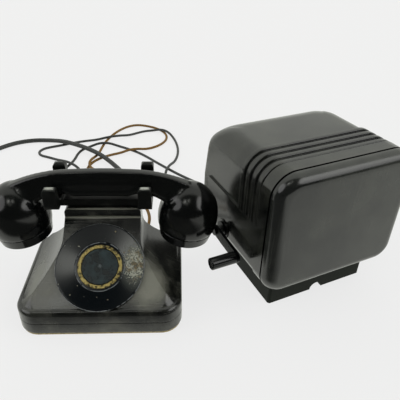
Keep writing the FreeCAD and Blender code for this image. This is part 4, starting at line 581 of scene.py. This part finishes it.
# which of the frame's nodes has which finish
nodeFinish = {
    "telephone": ["base_tray", "housing", "neck_cap"],
    "handset": ["handset_body", "ear_cap", "mouthpiece_cap", "crank_handle"],
    "fork": ["cradle_fork"],
    "case": ["box_shell"],
    "cover": ["box_cover"],
    "dialPlate": ["dial_centre"],
    "plinth": ["plinth"],
    "enamel": ["dial_blank"],
    "ringBrass": ["dial_ring"],
    "leatherBoard": ["base_pad"],
    "nickelSteel": ["base_screws", "fork_stems", "crank_shaft", "handle_pin", "armature_shaft",
                    "gong_posts", "dial_clamp_screws", "plinth_screws", "gongs"],
    "blackSteel": ["crank_arm", "crank_nut", "crank_bush", "cap_screw"],
    "zincPlate": ["dial_clamp", "chassis_plate", "contact_bracket", "capacitor", "ringer_frame",
                  "ringer_cores", "armature_core"],
    "oxidisedBrass": ["fork_bushes"],
    "turnedBrass": ["contact_springs", "drive_gear", "pinion", "generator_plates", "clapper"],
    "spunAluminium": ["receiver_capsule", "transmitter_capsule"],
    "castIron": ["generator_bed"],
    "dullZinc": ["dial_screw"],
    "magnetEnamel": ["magnets"],
    "paperLaminate": ["fork_link", "contact_pile", "terminal_strip", "terminal_block"],
    "varnishedCotton": ["induction_coil", "armature_winding", "ringer_coils"],
    "blackRubber": ["cord_glands", "handset_grommet", "cord_block", "line_plug"],
}
for finish, names in nodeFinish.items():
    for name in names:
        nodes[name].data.materials.clear()
        nodes[name].data.materials.append(finishes[finish])
print("finishes ready")


# the grip and both cups are one moulding, so the grip runs into the cups in wide soft curves;
# smoothing works fully past the second of two lengths out from the middle and up from the table
gripValues = {"voxelMm": 1.4, "outMm": (48, 62), "upMm": (72, 84), "smoothing": 0.5,
              "evenRounds": 2, "softRounds": 160, "shrinkShare": 0.08, "bellyMm": 3.3,
              "bellyFromMm": 26, "bellyToMm": 35, "bellyBelowMm": 119}


def smoothRounds(piece, factor, rounds, where):
    smooth = piece.modifiers.new("smooth", "SMOOTH")
    smooth.factor = factor
    smooth.iterations = rounds
    smooth.vertex_group = where
    bpy.ops.object.modifier_apply(modifier="smooth")


def makeGrip(v):
    bpy.ops.object.select_all(action="DESELECT")
    grip = bpy.data.objects.new("handset_moulding", nodes["handset_body"].data.copy())
    bpy.context.scene.collection.objects.link(grip)
    grip.select_set(True)
    bpy.context.view_layer.objects.active = grip
    bpy.ops.object.mode_set(mode="EDIT")
    bpy.ops.mesh.select_all(action="SELECT")
    bpy.ops.mesh.remove_doubles(threshold=mergeMm * mm)
    bpy.ops.object.mode_set(mode="OBJECT")
    remesh = grip.modifiers.new("remesh", "REMESH")
    remesh.mode = "VOXEL"
    remesh.voxel_size = v["voxelMm"] * mm
    bpy.ops.object.modifier_apply(modifier="remesh")
    group = grip.vertex_groups.new(name="joins")
    for vertex in grip.data.vertices:
        out = (abs(vertex.co.x) / mm - v["outMm"][0]) / (v["outMm"][1] - v["outMm"][0])
        up = (vertex.co.z / mm - v["upMm"][0]) / (v["upMm"][1] - v["upMm"][0])
        share = min(max(out, 0), 1) * min(max(up, 0), 1)
        group.add([vertex.index], share * share * (3 - 2 * share), "REPLACE")    # eased
    before = [(vertex.co.copy(), vertex.normal.copy()) for vertex in grip.data.vertices]
    smoothRounds(grip, v["smoothing"], v["softRounds"], "joins")
    # the hollows fill, while the round outside keeps nearly all its size
    for vertex, (place, normal) in zip(grip.data.vertices, before):
        move = vertex.co - place
        if move.dot(normal) < 0:
            vertex.co = place + move * v["shrinkShare"]
    # the palm side is full between the two rests
    for vertex, (place, normal) in zip(grip.data.vertices, before):
        if place.z < v["bellyBelowMm"] * mm and abs(place.x) < v["bellyToMm"] * mm:
            share = (v["bellyToMm"] - abs(place.x) / mm) / (v["bellyToMm"] - v["bellyFromMm"])
            vertex.co.z -= v["bellyMm"] * mm * min(share, 1)
    smoothRounds(grip, v["smoothing"], v["evenRounds"], "")
    bpy.ops.object.shade_smooth()
    grip.data.materials.clear()
    grip.data.materials.append(finishes["handset"])
    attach(grip, "handset")
    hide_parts("handset_body")


makeGrip(gripValues)
print("handset ready")


# the case's rear corners are rounded as seen from above, little low down and most at the top,
# inside the roundings that its sides and rear already have there; the top falls to the rear
caseValues = {"lowMm": 5, "highMm": 22, "highOverMm": 70, "sideRoundMm": 24, "rearRoundMm": 34,
              "fallMm": 3, "cutMm": 4, "cutTouchMm": 0.001, "sharpDegrees": 32}


# how far a rounding of this radius draws a face in at this depth below the top
def roundedInset(radius, depth):
    level = min(max(radius - depth, 0), radius)
    return radius - math.sqrt(radius * radius - level * level)


def makeCase(v):
    bpy.ops.object.select_all(action="DESELECT")
    case = bpy.data.objects.new("case_moulding", nodes["box_shell"].data.copy())
    bpy.context.scene.collection.objects.link(case)
    case.select_set(True)
    bpy.context.view_layer.objects.active = case
    bpy.ops.mesh.customdata_custom_splitnormals_clear()
    work = bmesh.new()
    work.from_mesh(case.data)
    bmesh.ops.remove_doubles(work, verts=work.verts, dist=mergeMm * mm)
    rearWay = -Vector(seamWay)
    sideWay = Vector((-seamWay[1], seamWay[0], 0))
    up = Vector((0, 0, 1))
    front = min(vertex.co.dot(rearWay) for vertex in work.verts)
    rear = max(vertex.co.dot(rearWay) for vertex in work.verts)
    top = max(vertex.co.z for vertex in work.verts)
    atRear = [vertex.co.dot(sideWay) for vertex in work.verts
              if vertex.co.dot(rearWay) > rear - v["lowMm"] * mm]
    middle, half = (max(atRear) + min(atRear)) / 2, (max(atRear) - min(atRear)) / 2
    # cuts give the corners enough points to bend
    cuts = [(rearWay, rear, v["rearRoundMm"] + v["highMm"]),
            (sideWay, middle + half, v["sideRoundMm"] + v["highMm"]),
            (-sideWay, half - middle, v["sideRoundMm"] + v["highMm"]),
            (up, top, v["highOverMm"])]
    for way, end, reach in cuts:
        for step in range(1, reach // v["cutMm"] + 1):
            bmesh.ops.bisect_plane(work, geom=work.verts[:] + work.edges[:] + work.faces[:],
                                   dist=v["cutTouchMm"] * mm, plane_no=way,
                                   plane_co=way * (end - step * v["cutMm"] * mm))
    # a point on the square corner moves in along its ray to the round one
    for vertex in work.verts:
        behind = vertex.co.dot(rearWay)
        across = vertex.co.dot(sideWay) - middle
        depth = (top - vertex.co.z) / mm - v["fallMm"] * (behind - front) / (rear - front)
        high = min(max(1 - depth / v["highOverMm"], 0), 1)
        radius = (v["lowMm"] + (v["highMm"] - v["lowMm"]) * high) * mm
        deep = behind - (rear - roundedInset(v["rearRoundMm"], depth) * mm - radius)
        wide = abs(across) - (half - roundedInset(v["sideRoundMm"], depth) * mm - radius)
        if deep > 0 and wide > 0:
            share = max(deep, wide) / math.hypot(deep, wide) - 1
            vertex.co += rearWay * deep * share + sideWay * math.copysign(wide, across) * share
    work.to_mesh(case.data)
    work.free()
    bpy.ops.object.shade_smooth_by_angle(angle=math.radians(v["sharpDegrees"]),
                                         keep_sharp_edges=False)
    even = case.modifiers.new("even", "WEIGHTED_NORMAL")
    even.keep_sharp = True
    bpy.ops.object.modifier_apply(modifier="even")
    case.data.materials.clear()
    case.data.materials.append(finishes["case"])
    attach(case, "telephone")
    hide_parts("box_shell")


makeCase(caseValues)
print("case ready")


# routes are in mm, from the rear glands on; a hump carries a cord over another one
handsetRoute = [
    (18, 66, 7.0), (18, 81, 7.0), (20, 100, 4.4), (20, 123, 3.6), (16, 146, 4.6), (12, 167, 8.3),
    (9, 189, 8.3), (4, 211, 4.6), (-5, 232, 3.6), (-15, 250, 3.6), (-29, 268, 5.6), (-46, 286, 8.4),
    (-67, 305, 8.4), (-90, 321, 8.4), (-115, 334, 8.2), (-140, 344, 4.6), (-166, 346, 3.6),
    (-192, 337, 3.6), (-214, 317, 3.6), (-232, 291, 3.6), (-245, 260, 3.6), (-251, 227, 3.6),
    (-250, 193, 3.6), (-243, 160, 3.6), (-231, 128, 3.6), (-215, 98, 3.6), (-196, 71, 4.8),
    (-176, 50, 11.0), (-160, 37, 22.5), (-147.5, 29, 36.6), (-134.83, 25.5, 49.24),
    (-122.4, 25.5, 60.83),
]
linkRoute = [
    (50, 66, 7.0), (50, 79, 7.0), (54, 95, 4.6), (61, 113, 2.3), (67, 133, 2.1), (67, 157, 2.1),
    (61.2, 182, 2.1), (57, 206, 2.1), (55, 227, 2.4), (57, 243, 6.4), (62, 258, 6.4),
    (69, 274, 2.4), (74, 295, 2.1), (75, 318, 2.1), (72, 341, 2.1), (67, 360, 2.4),
    (58, 375, 6.4), (45, 386, 6.4), (31, 389, 2.6), (16, 387, 2.1), (3, 379, 2.1),
    (-10, 369, 2.6), (-25, 359.5, 6.6), (-44, 353.5, 6.6),
    (-63, 351, 2.4), (-82, 347, 2.1), (-100, 340, 2.1), (-117, 331, 2.1), (-132, 324.8, 2.1),
    (-144, 318.5, 2.1), (-149, 307, 2.1), (-144, 295.5, 2.1), (-130, 289.5, 2.1), (-113, 280, 2.4),
    (-98, 269, 6.4), (-84, 259, 6.4), (-74, 250, 3.2), (-69.5, 238, 2.1), (-74, 226, 2.1),
    (-85, 220.5, 2.1), (-96.5, 225, 2.1), (-101.5, 237, 2.1), (-98, 252, 2.1), (-91, 267, 2.1),
    (-87, 284, 2.1), (-86, 301, 2.1), (-81, 316, 2.1), (-70, 326, 2.4), (-56, 331, 6.4),
    (-40, 332, 6.4), (-24, 328, 2.6), (-9, 320, 2.1), (7, 309, 2.1), (23, 294, 2.1),
    (39.6, 274.8, 2.1), (55, 258, 2.1), (72, 240, 2.1), (90, 223, 2.1), (108, 208, 2.1),
    (125, 192, 2.1), (140, 173, 2.1), (151, 157, 2.2), (160, 141, 2.7), (168.5, 128, 3.4),
    (174.94, 114.96, 3.5), (180.34, 102.04, 3.5),
]
batteryRoute = [
    (34, 66, 7.0), (34, 79, 7.0), (35, 93, 4.8), (37, 108, 2.4), (38, 125, 2.1), (35, 141, 2.1),
    (29, 155, 2.1), (21, 168, 2.1), (7, 180, 2.1), (-9, 193, 2.1), (-27, 206, 2.1),
    (-44, 219, 2.1), (-57, 232, 2.1), (-63, 247, 2.1), (-62, 262, 2.1), (-57, 276, 2.1),
    (-47, 288, 2.1), (-33, 298, 2.1), (-17, 304, 2.8), (-4, 308, 6.4), (9, 311, 6.4),
    (23, 317, 2.8), (37, 326, 2.1), (48, 338, 2.1), (55, 353, 2.1), (55, 371, 2.1),
    (48, 387, 2.1), (35, 400, 2.1), (18, 409, 2.1), (1, 413, 2.1), (-14, 407, 2.1),
    (-26, 394, 2.1), (-35, 379, 2.1), (-42, 362, 2.1), (-47, 345, 2.1), (-50, 328, 2.1),
    (-51.5, 312, 2.1), (-54, 298, 2.2), (-57, 286, 4.2), (-60, 275, 6.5), (-61.5, 263, 6.5),
    (-58, 252, 5.2), (-50, 244.5, 5.1), (-40, 240, 5.1),
]
cordValues = {
    "handset_cord": {"route": handsetRoute, "diameterMm": 7.0, "length": 0.81,
                     "farEnd": "object", "stiffness": "medium", "finish": "greyRubber",
                     "slot": "cord_grey", "withPlug": False},
    "link_cord": {"route": linkRoute, "diameterMm": 4.0, "length": 1.16, "farEnd": "object",
                  "stiffness": "limp", "finish": "greyRubber", "slot": "cord_grey",
                  "withPlug": False},
    "battery_cord": {"route": batteryRoute, "diameterMm": 4.0, "length": 0.69,
                     "farEnd": "plug", "stiffness": "limp", "finish": "braid",
                     "slot": "cord_braid", "withPlug": True},
}
splineValues = {"order": 3, "alongSteps": 8, "roundSteps": 5}


def routeCurve(name, route, radius, v):
    data = bpy.data.curves.new(name, "CURVE")
    data.dimensions = "3D"
    spline = data.splines.new("NURBS")
    spline.points.add(len(route) - 1)
    for point, place in zip(spline.points, route):
        point.co = (*[value * mm for value in place], 1)
    spline.order_u = v["order"]
    spline.use_endpoint_u = True
    spline.resolution_u = v["alongSteps"]
    data.bevel_depth = radius
    data.bevel_resolution = v["roundSteps"]
    curve = bpy.data.objects.new(name, data)
    bpy.context.scene.collection.objects.link(curve)
    return curve


def makeCord(name, v):
    # a line with no thickness gives the points that the cord follows
    line = routeCurve(name + "_line", v["route"], 0, splineValues)
    pathMesh = bpy.data.meshes.new_from_object(line)
    path = [vertex.co.copy() for vertex in pathMesh.vertices]
    bpy.data.objects.remove(line)
    curve = routeCurve(name + "_tube", v["route"], v["diameterMm"] / 2 * mm, splineValues)
    bpy.ops.object.select_all(action="DESELECT")
    curve.select_set(True)
    bpy.context.view_layer.objects.active = curve
    bpy.ops.object.convert(target="MESH")
    tube = bpy.context.object
    bpy.ops.object.shade_smooth()
    # u runs round the cord and v along it in metres, for the braid
    around = len(tube.data.vertices) // len(path)
    travelled = [0.0]
    for a, b in zip(path, path[1:]):
        travelled.append(travelled[-1] + (b - a).length)
    layer = tube.data.uv_layers.active or tube.data.uv_layers.new(name="UVMap")
    for face in tube.data.polygons:
        columns = [tube.data.loops[i].vertex_index % around for i in face.loop_indices]
        wraps = max(columns) - min(columns) > 1
        for i, column in zip(face.loop_indices, columns):
            ring = tube.data.loops[i].vertex_index // around
            if wraps and column == 0:
                column = around
            layer.data[i].uv = (column / around, travelled[min(ring, len(travelled) - 1)])
    tube.data.materials.clear()
    tube.data.materials.append(finishes[v["finish"]])
    if name == "handset_cord":
        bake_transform(tube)
    else:
        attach(tube, "telephone")
    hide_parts(name)


for name, v in cordValues.items():
    makeCord(name, v)
print("cords ready")
